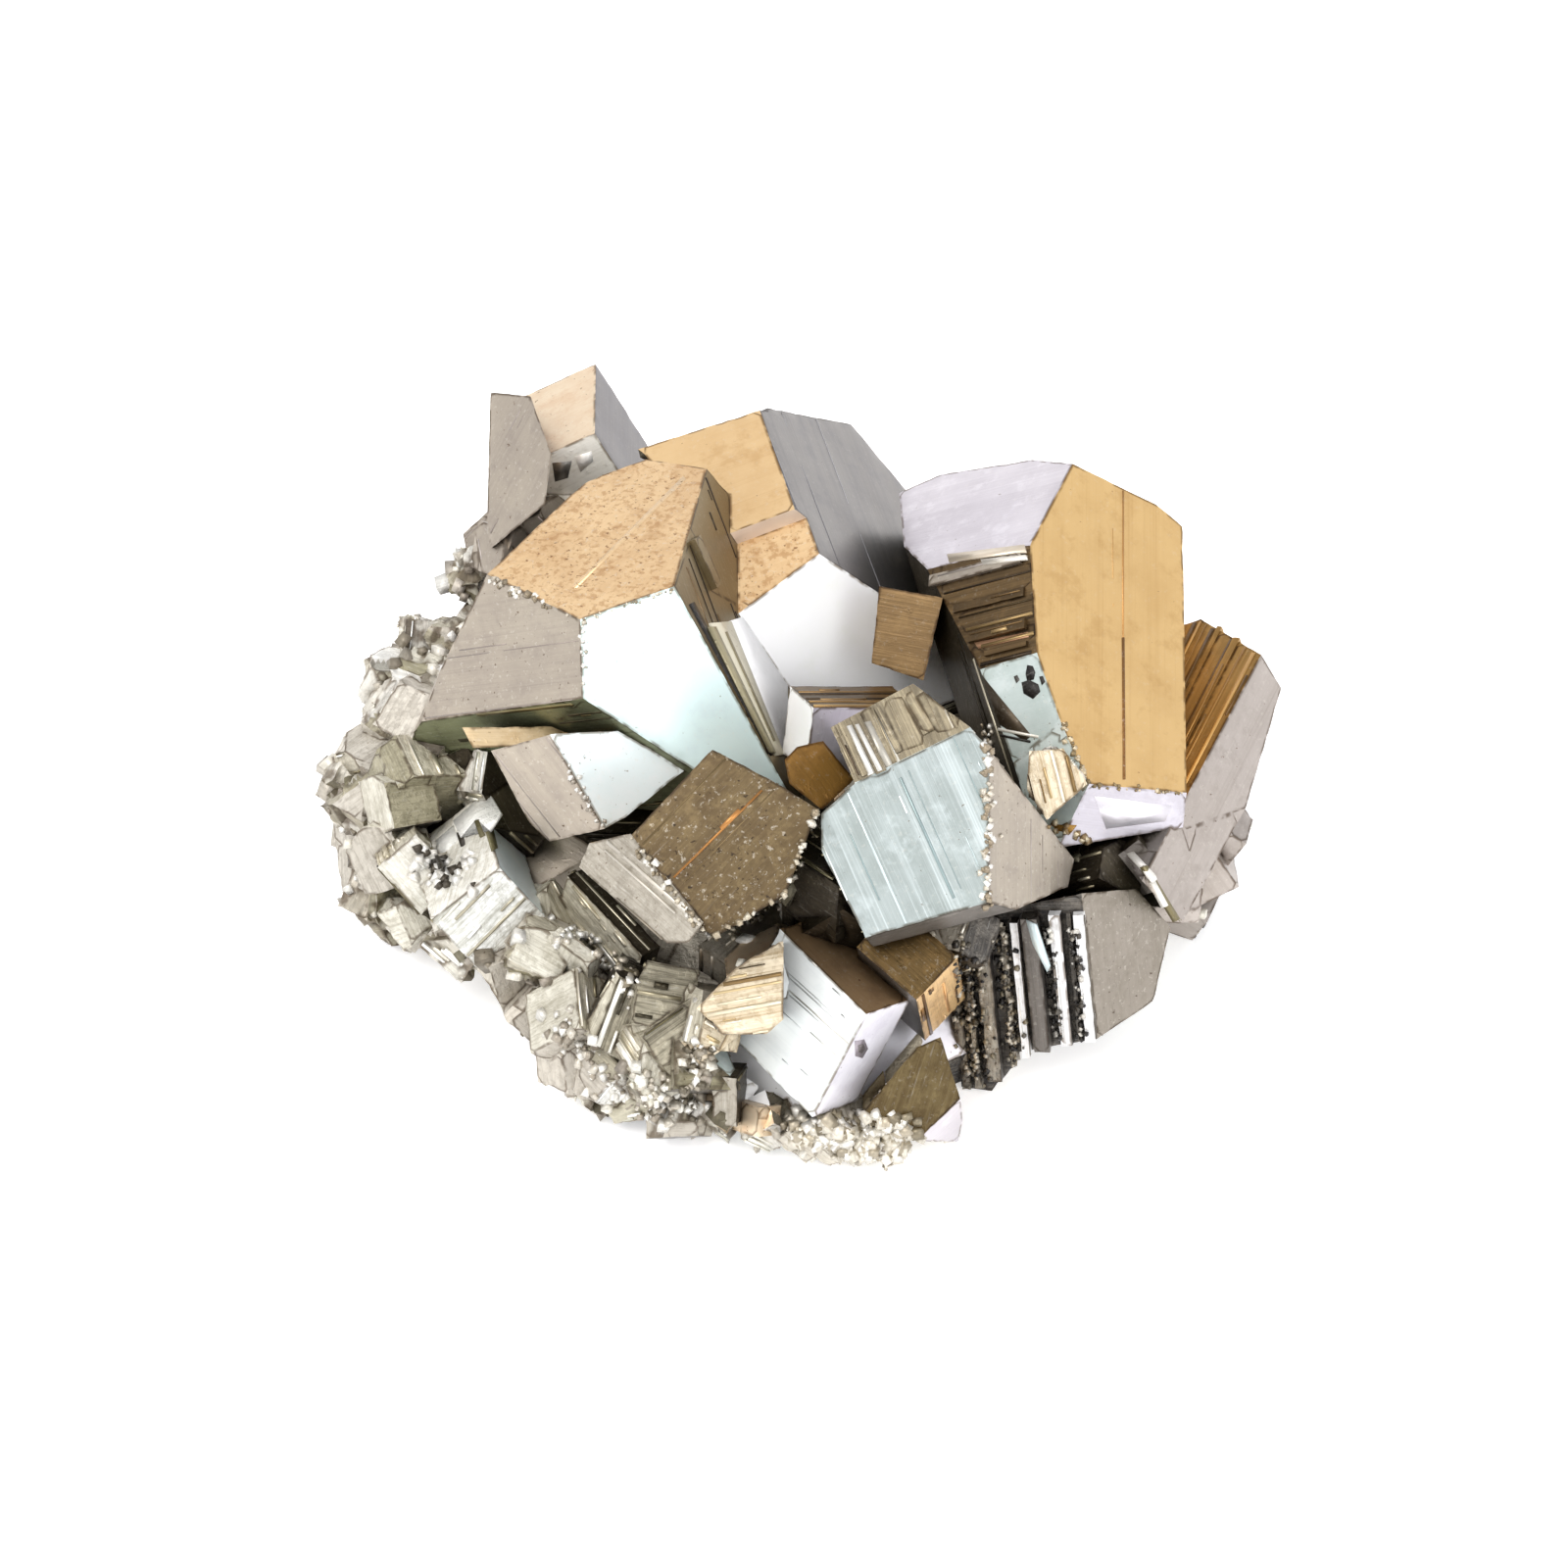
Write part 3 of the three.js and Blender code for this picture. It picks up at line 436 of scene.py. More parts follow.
def picture_of(point):
    """The place in the picture of a point: its step across and up from the aim, over its depth."""
    arm = point - EYE
    scale = DISTANCE / (-(arm @ TOWARD)) * PICTURE / WIDTH_SEEN
    return np.array([PICTURE / 2 + arm[0] * scale, PICTURE / 2 - (arm @ UP) * scale])


def finish_by_direction(normal, area, middle):
    """A finish for a plane that points along normal: up, down, or one of four sides, with some chance.
    Its tint paints in the reflection that a face turned that way shows.
    """
    x, y, z = normal
    step = (picture_of(middle) - WHITE_FOOT) / WHITE_REACH
    if (step**2).sum() < 1 and middle[2] < WHITE_HEIGHT:
        choice = ["sugar white"]
    elif area < (SMALL_FACE if np.dot(normal, EYE - middle) > 0 else SMALL_HIDDEN_FACE):
        choice = RUBBLE if z > DOWNWARD else ["rubble olive", "slate", "rubble grey"]
    elif z < DOWNWARD:
        choice = ["olive", "slate", "dark"]
    elif z > UPWARD:
        choice = ["gold", "speckled gold", "peach"]
    elif x < -SIDEWARD:
        choice = ["lilac grey", "warm lilac", "grey"]
    elif y < FORWARD:
        choice = ["white", "pale blue", "grey"]
    elif x > SIDEWARD:
        choice = ["lilac", "dark grey", "grey", "gold"]
    else:
        choice = ["gold", "brown", "striped brown", "lilac grey", "grey"]
    return FINISH_NAMES.index(choice[draw.integers(len(choice))])


print("the least areas that count as crystal faces:", SMALL_FACE, "and", SMALL_HIDDEN_FACE, "mm2")

# %% [markdown]
# The narrow sides of a named rib would stand out in a colour of their own, so they take the rib's finish.
# What is left takes its finish from the rule above. Every plane also gets its number and its directions.

# %% Give every other face its finish
BASE_FACING, BASE_HEIGHT = -0.99, 0.01


def finish_beside(group):
    """For a slender plane, as the side of a rib: the named finish that shares most of its edge, or -1."""
    shared, longest = {}, 0.0
    for index in group:
        for edge in body.faces[index].edges:
            longest = max(longest, edge.calc_length() / MM)
            for other in edge.link_faces:
                if named[other.index]:
                    finish = finish_of[other.index]
                    shared[finish] = shared.get(finish, 0.0) + edge.calc_length() / MM
    if not shared or face_areas[group].sum() > SLENDER * longest:
        return -1
    return max(shared, key=shared.get)


groups = 0
named = finish_of >= 0
for index in range(len(polygons)):
    if group_of[index] >= 0:
        continue
    group = same_plane(index)
    group_of[group] = groups
    groups += 1
    middle = points[polygons[index]].mean(0)
    if finish_of[index] < 0:
        finish_of[group] = finish_beside(group)
    if finish_of[index] < 0:
        finish_of[group] = finish_by_direction(face_normals[index], face_areas[group].sum(), middle)
    if not along_of[index].any():
        corners = points[polygons[index]]
        sides = np.roll(corners, -1, axis=0) - corners
        longest = sides[np.argmax((sides**2).sum(1))]
        along_of[group] = plane_directions(face_normals[index], longest)[0]
across_of = np.cross(face_normals, along_of)
touches_base = np.array([points[p, 2].max() < BASE_HEIGHT for p in polygons])
on_base = (face_normals[:, 2] < BASE_FACING) & touches_base
crust_of = AMOUNTS[finish_of, 2]
print(groups, "planes,", int(on_base.sum()), "polygons on the base")

# %% [markdown]
# ## Growth relief
# A grown face isn't flat. It has steps along its growth lines, a waviness between them, and its edges are
# worn. A displacement texture could do this, but it would tear the body open at the edges. So the body
# is meshed again: every edge is cut into short pieces that both of its faces share, every face is filled
# with a grid of points, and all points then move a little. The shared pieces keep the skin closed.

# %% Cut every edge into short pieces
SPACING = 0.52
ROUGH_SPACING = 0.4
CRUSTY = 0.5  # faces above this amount of crust get the closer spacing
spacing_of = np.where(crust_of > CRUSTY, ROUGH_SPACING, SPACING)


def cut_edges(corners, pairs, spacing):
    """Points at equal steps along each edge: a + (b - a) * k / n, n being its length over the spacing."""
    a, b = corners[pairs[:, 0]], corners[pairs[:, 1]]
    pieces = np.maximum(1, np.ceil(np.linalg.norm(b - a, axis=1) / spacing)).astype(int)
    count = pieces - 1
    owner = np.repeat(np.arange(len(pairs)), count)
    start = np.cumsum(count) - count
    step = np.arange(count.sum()) - start[owner] + 1
    extra = a[owner] + (b - a)[owner] * (step / pieces[owner])[:, None]
    return extra, start + len(corners), count


finest = {}
for edge in body.edges:
    ends = tuple(sorted(v.index for v in edge.verts))
    finest[ends] = min(spacing_of[f.index] for f in edge.link_faces)
pairs = np.array(sorted(finest))
edge_number = {tuple(pair): i for i, pair in enumerate(pairs.tolist())}
edge_spacing = np.array([finest[tuple(pair)] for pair in pairs.tolist()])
extra, first_extra, extra_count = cut_edges(points, pairs, edge_spacing)
shared = np.vstack([points, extra])


def ring_of(polygon):
    """The polygon's corners with the extra points of its edges between them, in order."""
    ring = []
    for a, b in zip(polygon, polygon[1:] + polygon[:1]):
        number = edge_number[min(a, b), max(a, b)]
        between = list(range(first_extra[number], first_extra[number] + extra_count[number]))
        ring += [a] + (between if a < b else between[::-1])
    return ring


rings = [ring_of(p) for p in polygons]
print(len(shared), "points on edges")

# %% [markdown]
# The grid inside a face is a triangular one that follows the growth lines. Points outside the face or too
# near its edge are dropped, because they would make thin triangles there.

# %% A grid of points inside a face
GRID_START = 0.3  # where the grid starts, in spacings from the face's corner
EDGE_GAP = 0.55  # the least distance of a grid point from the edge, in spacings


def distance_to_ring(at, ring):
    """(distance, inside) of each point from a closed ring: the least distance to its segments, and
    whether a line to the right crosses the ring an odd number of times."""
    a, b = ring, np.roll(ring, -1, axis=0)
    side = b - a
    length = np.maximum((side**2).sum(1), 1e-12)
    arm = at[:, None, :] - a[None]
    share = np.clip((arm * side[None]).sum(2) / length, 0, 1)
    distance = np.linalg.norm(arm - share[..., None] * side[None], axis=2).min(1)
    below, above = a[None, :, 1] > at[:, None, 1], b[None, :, 1] > at[:, None, 1]
    rise = np.where(side[:, 1] == 0, 1e-12, side[:, 1])
    crossing = a[None, :, 0] + (at[:, None, 1] - a[None, :, 1]) * (side[:, 0] / rise)[None]
    return distance, ((below != above) & (at[:, None, 0] < crossing)).sum(1) % 2 == 1


def grid_inside(ring, spacing):
    """A triangular grid: rows spacing * 0.866 apart, every second row shifted by half a step."""
    low, high = ring.min(0) + GRID_START * spacing, ring.max(0)
    row = spacing * math.sqrt(3) / 2
    across, down = np.meshgrid(np.arange(low[0], high[0], spacing), np.arange(low[1], high[1], row))
    across = across + (np.arange(len(across)) % 2)[:, None] * spacing / 2
    at = np.stack([across.ravel(), down.ravel()], axis=1)
    if not len(at):
        return at, np.zeros(0)
    distance, inside = distance_to_ring(at, ring)
    keep = inside & (distance > EDGE_GAP * spacing)
    return at[keep], distance[keep]


print("rows of the grid in mm:", round(SPACING * math.sqrt(3) / 2, 2))

# %% [markdown]
# Each face is laid flat in its own two directions. A Delaunay triangulation joins its grid with the points
# on its edges, and the result is lifted back. Where that would add or join points, plain triangles between
# the edge points fill the face instead, so that neighbouring faces always share their edges.

# %% Mesh every face
LEAST_GRIDDED = 0.4  # mm2: smaller faces get no grid
LEAST_APART = 1e-6  # mm: the triangulation joins points nearer than this


def mesh_face(ring_ids, along, across, spacing):
    """(triangles, new points, their distances from the edge) of one face. Triangles number its ring first."""
    ring3 = shared[ring_ids]
    ring = np.stack([ring3 @ along, ring3 @ across], axis=1)
    inner, distance = grid_inside(ring, spacing) if spacing else (np.zeros((0, 2)), np.zeros(0))
    count = len(ring)
    flat = np.vstack([ring, inner])
    sides = [(i, (i + 1) % count) for i in range(count)]
    made = delaunay_2d_cdt([Vector(p) for p in flat], sides, [], 1, LEAST_APART)
    sources = made[3]
    if len(sources) != len(flat) or any(len(s) != 1 for s in sources):
        folded = tessellate_polygon([[Vector((*p, 0)) for p in ring]])
        triangles, inner, distance = np.array(folded), inner[:0], distance[:0]
    else:
        number = np.array([s[0] for s in sources])
        triangles = number[np.array(made[2])]
    corners = np.vstack([ring, inner])[triangles]
    turn = np.cross(corners[:, 1] - corners[:, 0], corners[:, 2] - corners[:, 0])
    triangles = np.where((turn < 0)[:, None], triangles[:, ::-1], triangles)
    out = np.cross(along, across)
    placed = inner[:, :1] * along + inner[:, 1:] * across + np.mean(ring3 @ out) * out
    return triangles, placed, distance


triangles, patch, inner_points, inner_rim, inner_patch = [], [], [], [], []
total = len(shared)
for index, ring in enumerate(rings):
    spacing = 0 if on_base[index] or face_areas[index] < LEAST_GRIDDED else spacing_of[index]
    tri, inner, rim = mesh_face(ring, along_of[index], across_of[index], spacing)
    ids = np.concatenate([ring, np.arange(total, total + len(inner))]).astype(int)
    triangles.append(ids[tri])
    patch.append(np.full(len(tri), index))
    inner_points.append(inner)
    inner_rim.append(rim)
    inner_patch.append(np.full(len(inner), index))
    total += len(inner)
triangles, patch = np.vstack(triangles), np.concatenate(patch)
skin = np.vstack([shared] + inner_points)
rim = np.concatenate([np.zeros(len(shared))] + inner_rim)
patch_of_point = np.concatenate([np.full(len(shared), -1)] + inner_patch)
print(len(skin), "points,", len(triangles), "triangles")

# %% [markdown]
# Broken pyrite has no faces of its own: it splits into shards that follow the grain. The unnamed faces of
# the foot are shared out among seeds, each point going to the nearest one along and across its face's
# lines, so every shard is a long patch. Each has its own tilt, rise and tint.

# %% Cut the rubble into shards
SHARD_LENGTH, SHARD_WIDTH = 2.3, 0.95
SHARD_TILT = (0.12, 0.4)  # slopes along and across the lines
SHARD_RISE = 0.15
PLANES_APART = 50.0
rubble_of = np.isin(finish_of, [FINISH_NAMES.index(name) for name in RUBBLE]) & ~named & ~on_base


def shard_map(at, index):
    """Where a point lies among the shards: along its face's lines over the shard length, across them over
    the width, and a third number that keeps the planes apart."""
    along = (at * along_of[index]).sum(1) / SHARD_LENGTH
    across = (at * across_of[index]).sum(1) / SHARD_WIDTH
    return np.stack([along, across, PLANES_APART * group_of[index]], axis=1)


source = np.random.default_rng(17)
inside = np.nonzero((patch_of_point >= 0) & rubble_of[np.maximum(patch_of_point, 0)])[0]
share = ROUGH_SPACING**2 * math.sqrt(3) / 2 / (SHARD_LENGTH * SHARD_WIDTH)
seeds = source.choice(inside, int(len(inside) * share), replace=False)
seed_places = shard_map(skin[seeds], patch_of_point[seeds])
nearest = KDTree(len(seeds))
for number, place in enumerate(seed_places):
    nearest.insert(place, number)
nearest.balance()
shard_tilt = source.normal(size=(len(seeds), 2)) * SHARD_TILT
shard_rise = SHARD_RISE * source.normal(size=len(seeds))


def shard_at(at, index):
    """The number of the shard that each point belongs to, and that shard's middle: the nearest seed."""
    numbers = np.array([nearest.find(place)[1] for place in shard_map(at, index)])
    return numbers, skin[seeds[numbers]]


print(len(seeds), "shards on", round(float(face_areas[rubble_of].sum())), "mm2 of rubble")

# %% [markdown]
# The relief needs a smooth noise that is the same each run, and the mean of a value over the triangles round
# a point. That mean gives each point its normal, how crusty it is, and its pull: the way to the middle of
# its neighbours. A point on an edge is sharp where its neighbours lie lower than it does.

# %% The noise, and the normal and the pull of every point
SHARP = -0.01  # mm: the neighbours of a sharp point lie at least this much below it


def waves(at, size, seed, count=22):
    """Smooth noise about -1 to 1: the mean of count sines with wavelengths near size, times 2.4."""
    source = np.random.default_rng(seed)
    ways = source.normal(size=(count, 3))
    ways *= 2 * math.pi / size / np.linalg.norm(ways, axis=1)[:, None] * source.uniform(0.6, 1.6, (count, 1))
    return 2.4 * np.sin(at @ ways.T + source.uniform(0, 6.3, count)).mean(1)


def point_means(values, count):
    """The mean over each point's triangles of a value given at every triangle corner."""
    total = np.zeros((count, values.shape[-1]))
    for corner in range(3):
        np.add.at(total, triangles[:, corner], values[:, corner])
    uses = np.bincount(triangles.ravel(), minlength=count)[:, None]
    return total / np.maximum(uses, 1)


corner_points = skin[triangles]
others = (corner_points[:, [1, 2, 0]] + corner_points[:, [2, 0, 1]]) / 2
pull = point_means(others, len(skin)) - skin
normals = point_means(np.repeat(face_normals[patch][:, None], 3, axis=1), len(skin))
normals /= np.maximum(np.linalg.norm(normals, axis=1), 1e-9)[:, None]
crust = point_means(np.repeat(crust_of[patch][:, None, None], 3, axis=1), len(skin))[:, 0]
on_edge = patch_of_point < 0
sharp = on_edge & ((pull * normals).sum(1) < SHARP)

far = np.linalg.norm(pull, axis=1)
pull *= np.minimum(1, SPACING / np.maximum(far, 1e-9))[:, None]
print(int(sharp.sum()), "points on sharp edges")

# %% [markdown]
# Four movements shape the skin. Points on a sharp edge slide towards their neighbours, which wears the
# edge. Crusty faces rise and fall by a broken noise. Shards tilt and step against each other. Lined faces
# get small steps along their growth lines.

# %% Wear the edges and raise the relief
EDGE_WEAR, WEAR_IN_PATCHES, WEAR_IN_SPOTS = 0.1, 0.16, 0.14  # shares of the way to the neighbours
CRUSTY_WEAR, CRUSTY_CHIPS = 0.25, 0.3  # the same, added where the edge is crusty
MOST_WEAR, MOST_CRUSTY_WEAR = 0.5, 0.9
BROAD_LUMPS, FINE_LUMPS, CREASE_LEVEL = 0.5, 0.3, 0.34
CRUST_RELIEF, LEAST_CRUST = 0.75, 0.15
SHARD_SUNK, SHARD_RAISED = -0.45, 0.5
STEP_HEIGHT, STEPS = 0.03, 2.5
SWELL = 0.02  # mm, the slow waviness of every face
CALM_EDGE = 1.6  # spacings from an edge over which steps and waviness fade in

# Wear: a tenth of the way to the neighbours, more or less in patches of 2 mm and in spots of 1 mm.
worn = skin.copy()
patchy = WEAR_IN_PATCHES * waves(skin, 2.2, seed=3)
wear = np.clip(EDGE_WEAR + patchy + WEAR_IN_SPOTS * waves(skin, 0.9, seed=4), 0.0, MOST_WEAR)
wear += crust * (CRUSTY_WEAR + CRUSTY_CHIPS * waves(skin, 1.1, seed=14))
worn[sharp] += (pull * np.clip(wear, 0, MOST_CRUSTY_WEAR)[:, None])[sharp]

# Crust: creases where a slow and a quick noise pass through zero, and lumps between them.
of_point = np.maximum(patch_of_point, 0)
lumps = np.abs(waves(skin, 3.0, seed=5)) * BROAD_LUMPS
broken = lumps + np.abs(waves(skin, 1.2, seed=6)) * FINE_LUMPS - CREASE_LEVEL
worn += normals * (np.clip(crust - LEAST_CRUST, 0, 1) * broken * CRUST_RELIEF)[:, None]

# Shards: a rise and two slopes about the middle of each.
inner = np.nonzero(rubble_of[of_point] & ~on_edge)[0]
own, middle_of_shard = shard_at(skin[inner], of_point[inner])
arm = skin[inner] - middle_of_shard
tilt = shard_tilt[own, 0] * (arm * along_of[of_point[inner]]).sum(1)
tilt += shard_tilt[own, 1] * (arm * across_of[of_point[inner]]).sum(1)
worn[inner] += normals[inner] * np.clip(shard_rise[own] + tilt, SHARD_SUNK, SHARD_RAISED)[:, None]

# Steps: a noise of the distance across the growth lines, rounded to a few levels.
lined = AMOUNTS[finish_of[of_point], 0] * (patch_of_point >= 0)
height = (skin * across_of[of_point]).sum(1)
line_noise = waves(np.stack([height, height * 0, 5 * group_of[of_point]], axis=1), 2.6, seed=8)
step = np.round(STEPS * line_noise) / STEPS
envelope = np.clip(rim / (CALM_EDGE * SPACING), 0, 1)
worn += normals * (STEP_HEIGHT * lined * step * envelope)[:, None]
worn += normals * (SWELL * waves(skin, 7, seed=9) * envelope)[:, None]

low, high = points.min(0), points.max(0)
worn = np.clip(worn, low, high)
print("furthest move in mm:", round(float(np.linalg.norm(worn - skin, axis=1).max()), 2))

# %% [markdown]
# Recesses where crystals meet are darkened with painted shade. How hidden a point is can be measured once
# and stored on the mesh: rays leave each point in all the directions of its half of the sky, and each ray
# that soon hits the body again counts. A finish can then paint shade into the recesses from any side,
# with no light in it.

# %% Measure how hidden each point is, for the painted shade
HOLLOW_REACH = 7.0
HOLLOW_LIFT = 0.12
HOLLOW_RAYS = 20


def even_directions(count):
    """Unit vectors spread evenly: heights at equal steps, each turned by the golden angle."""
    height = 1 - 2 * (np.arange(count) + 0.5) / count
    turn = np.arange(count) * math.pi * (3 - math.sqrt(5))
    level = np.sqrt(1 - height**2)
    return np.stack([level * np.cos(turn), level * np.sin(turn), height], axis=1)


def hollow_at(at, out):
    """From 0 in the open to 1 in a hole: the mean over rays of 1 - length / reach, 0 for free rays."""
    ways = even_directions(HOLLOW_RAYS)
    side = np.sign(out @ ways.T + 1e-9)
    starts = (at + HOLLOW_LIFT * out) * MM
    closeness = np.zeros(len(at))
    for i, start in enumerate(starts):
        start = Vector(start)
        for way in ways * side[i][:, None]:
            length = tree.ray_cast(start, Vector(way), HOLLOW_REACH * MM)[3]
            if length is not None:
                closeness[i] += 1 - length / MM / HOLLOW_REACH
    return closeness / len(ways)


occlusion = hollow_at(skin, normals)
print("mean hollow:", round(float(occlusion.mean()), 2))

# %% [markdown]
# ## Making the pieces
# All pieces carry the same named values: two tints, the four amounts, the painted shade of their recesses,
# how far from an edge, and a map along and across the growth lines. So one finish can dress them all.

# %% Make a mesh with its tints and amounts
def colour_attribute(mesh, name, values, domain):
    """Writes rows of red, green and blue as a colour attribute with alpha 1."""
    layer = mesh.attributes.new(name, "FLOAT_COLOR", domain)
    layer.data.foreach_set("color", np.hstack([np.clip(values, 0, 1), np.ones((len(values), 1))]).ravel())


def number_attribute(mesh, name, values, domain):
    """Writes one number per item."""
    mesh.attributes.new(name, "FLOAT", domain).data.foreach_set("value", np.ascontiguousarray(values, float))


def new_piece(name, verts, faces):
    """A mesh object at the origin, from points in mm and triangles."""
    mesh = bpy.data.meshes.new(name)
    mesh.vertices.add(len(verts))
    mesh.vertices.foreach_set("co", (verts * MM).ravel())
    mesh.loops.add(3 * len(faces))
    mesh.loops.foreach_set("vertex_index", faces.ravel().astype(np.int32))
    mesh.polygons.add(len(faces))
    mesh.polygons.foreach_set("loop_start", np.arange(0, 3 * len(faces), 3, dtype=np.int32))
    mesh.update(calc_edges=True)
    mesh.validate()
    piece = bpy.data.objects.new(name, mesh)
    scene.collection.objects.link(piece)
    return piece


def dress(piece, tints, line_tints, amounts, painted_shade, rims, growth):
    """Stores the finish: tints and amounts per face, painted shade and rim and the growth map per corner."""
    mesh = piece.data
    colour_attribute(mesh, "tint", tints, "FACE")
    colour_attribute(mesh, "line_tint", line_tints, "FACE")
    for column, name in enumerate(AMOUNT_NAMES):
        number_attribute(mesh, name, amounts[:, column], "FACE")
    number_attribute(mesh, "occlusion", painted_shade, "CORNER")
    number_attribute(mesh, "rim", rims, "CORNER")
    mesh.uv_layers.new(name="growth").data.foreach_set("uv", growth.ravel())
    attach(piece, "root")


# %% [markdown]
# The crystals' own mesh comes first. Its growth map runs along and across the lines of every face, so the
# finish can draw lines that turn with the face. Bright faces get less painted shade in their recesses than
# the rest, because they mirror the open room: a table gives each finish its share.

# %% The crystals' mesh and maps
MAP_SHIFT = 7.3  # mm between the growth maps of two planes
FLAT_RIM = 0.3  # mm: on triangles between edges alone, the distance from the edge that the finish sees
RUBBLE_DARKENING, USUAL_DARKENING = 0.4, 0.9
DARKENING = {
    # finish: the share of its occlusion that it shows as painted shade
    "bright": 0.0, "white": 0.1, "lined white": 0.1, "pale blue": 0.1, "bright blue": 0.1, "silver": 0.2,
    "rubble pale": 0.1, "chunk white": 0.15, "chunk pale": 0.25, "chunk grey": 0.35, "chunk olive": 0.5,
    "fibrous": 0.15, "splinters": 0.5, "pale rib": 0.3, "dull grey": 0.3, "grey": 0.6, "dark brown": 0.6,
}
usual = [RUBBLE_DARKENING if name in RUBBLE else USUAL_DARKENING for name in FINISH_NAMES]
darkening = np.array([DARKENING.get(name, share) for name, share in zip(FINISH_NAMES, usual)])

crystals = new_piece("pyrite_crystals", worn, triangles)
corner_ids = triangles.ravel()
owner = np.repeat(patch, 3)
corners = skin[corner_ids]
shift = MAP_SHIFT * group_of[owner]
growth_along, growth_across = ((corners * way[owner]).sum(1) + shift for way in (along_of, across_of))
growth_map = np.stack([growth_along, growth_across], axis=1)
only_edges = np.repeat((patch_of_point[triangles] < 0).all(1), 3)
corner_rim = np.where(only_edges, FLAT_RIM, rim[corner_ids])
# painted shade: each corner's occlusion times its finish's share
painted_shade = occlusion[corner_ids] * darkening[finish_of[owner]]
print("mean darkening:", round(float(painted_shade.mean()), 2))

# %% [markdown]
# Each plane is a little lighter or darker than its finish, and each shard mixes its plane's tint with one
# of its own. The finish draws a dark line where the rim value is low, so a shard's rim is measured from
# its own edge, which makes the cracks between shards.

# %% Tints of the planes and shards, and the dressed crystals
PLANE_SHADES = (0.93, 1.05)
SHARD_TINTS = palette("#ddd5c6 #c9c1b0 #f3efe3 #aaa088 #e8e2d4 #bdb598 #fffdf7 #d3cbba #857c63 #f9f5ea")
SHARD_SHARE = 0.65  # how much of a shard's tint is its own
SHARD_LINES = 0.5  # the tint of a shard's lines, as a share of its tint
OPEN_RIM = 1.0  # mm: a rim value that draws no line
plane_shade = np.random.default_rng(21).uniform(*PLANE_SHADES, (groups, 1))[group_of[patch]]
tints, line_tints = TINTS[finish_of[patch]] * plane_shade, LINES[finish_of[patch]] * plane_shade
shard = np.full(len(triangles), -1)
broken_part = np.nonzero(rubble_of[patch])[0]
shard[broken_part] = shard_at(skin[triangles[broken_part]].mean(1), patch[broken_part])[0]
tone = source.integers(len(SHARD_TINTS), size=len(seeds))
own_tints = SHARD_TINTS[tone[shard[broken_part]]]
tints[broken_part] = (1 - SHARD_SHARE) * tints[broken_part] + SHARD_SHARE * own_tints
line_tints[broken_part] = SHARD_LINES * tints[broken_part]

# A shard's rim is half of how much further the second nearest seed is than the nearest.
broken_corners = np.nonzero(rubble_of[owner])[0]
places = shard_map(corners[broken_corners], owner[broken_corners])
two = np.array([[found[2] for found in nearest.find_n(place, 2)] for place in places])
to_next = 0.5 * SHARD_WIDTH * (two[:, 1] - two[:, 0])
corner_rim[broken_corners] = np.minimum(corner_rim[broken_corners], to_next)
corner_rim[finish_of[owner] == FINISH_NAMES.index("groove")] = OPEN_RIM
dress(crystals, tints, line_tints, AMOUNTS[finish_of[patch]], painted_shade, corner_rim, growth_map)
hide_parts("pyrite_cluster")
print(len(broken_part), "of", len(triangles), "triangles are rubble")

# %% [markdown]
# Smooth shading rounds the light over the small bumps of a face, but the edges between faces and between
# shards have to stay crisp, so those are marked as sharp. A closed skin has two triangles at every edge,
# and the last line counts the edges that haven't.

# %% Sharp edges, and a test that the skin is closed
mesh = crystals.data
ends = np.zeros(2 * len(mesh.edges), np.int32)
mesh.edges.foreach_get("vertices", ends)
between_faces = (patch_of_point[ends.reshape(-1, 2)] < 0).all(1)
loop_edges = np.zeros(3 * len(mesh.polygons), np.int32)
mesh.loops.foreach_get("edge_index", loop_edges)
loop_shards = np.repeat(shard, 3)
lowest, highest = np.full(len(mesh.edges), len(seeds)), np.full(len(mesh.edges), -1)
np.minimum.at(lowest, loop_edges, loop_shards)
np.maximum.at(highest, loop_edges, loop_shards)
sharp_edges = between_faces | (lowest != highest)
mesh.attributes.new("sharp_edge", "BOOLEAN", "EDGE").data.foreach_set("value", sharp_edges)
mesh.polygons.foreach_set("use_smooth", np.ones(len(mesh.polygons), bool))
sides = np.vstack([triangles[:, [0, 1]], triangles[:, [1, 2]], triangles[:, [2, 0]]])
uses = np.unique(np.sort(sides, axis=1), axis=0, return_counts=True)[1]
print(len(triangles), "triangles, edges not shared by two triangles:", int((uses != 2).sum()))

# %% [markdown]
# ## Growth bars
# The strongest growth lines of pyrite are real steps: long flat bars, a tenth of a millimetre wide, all
# parallel. Painted lines look printed when the light moves, so the strong ones are thin bars of metal
# that lie on the face, and only the finest ones are left to the finish. A bar is a flat prism whose top is
# narrower than its foot.

# %% Prisms and how they are gathered into one mesh
PRISM_ROOT = 0.15  # mm that a prism reaches under its face
EDGE_SLOPE = 0.06  # mm by which its top is narrower on each side
MOST_SLOPE = 0.3  # the same as a share of the way to its middle, at most
# PART_DARKENING: the share of occlusion that bars and marks show as painted shade
PART_DARKENING = 0.6
PART_LINES = 0.75
FAR_RIM = 0.5  # mm: far enough from an edge for the finish to draw none


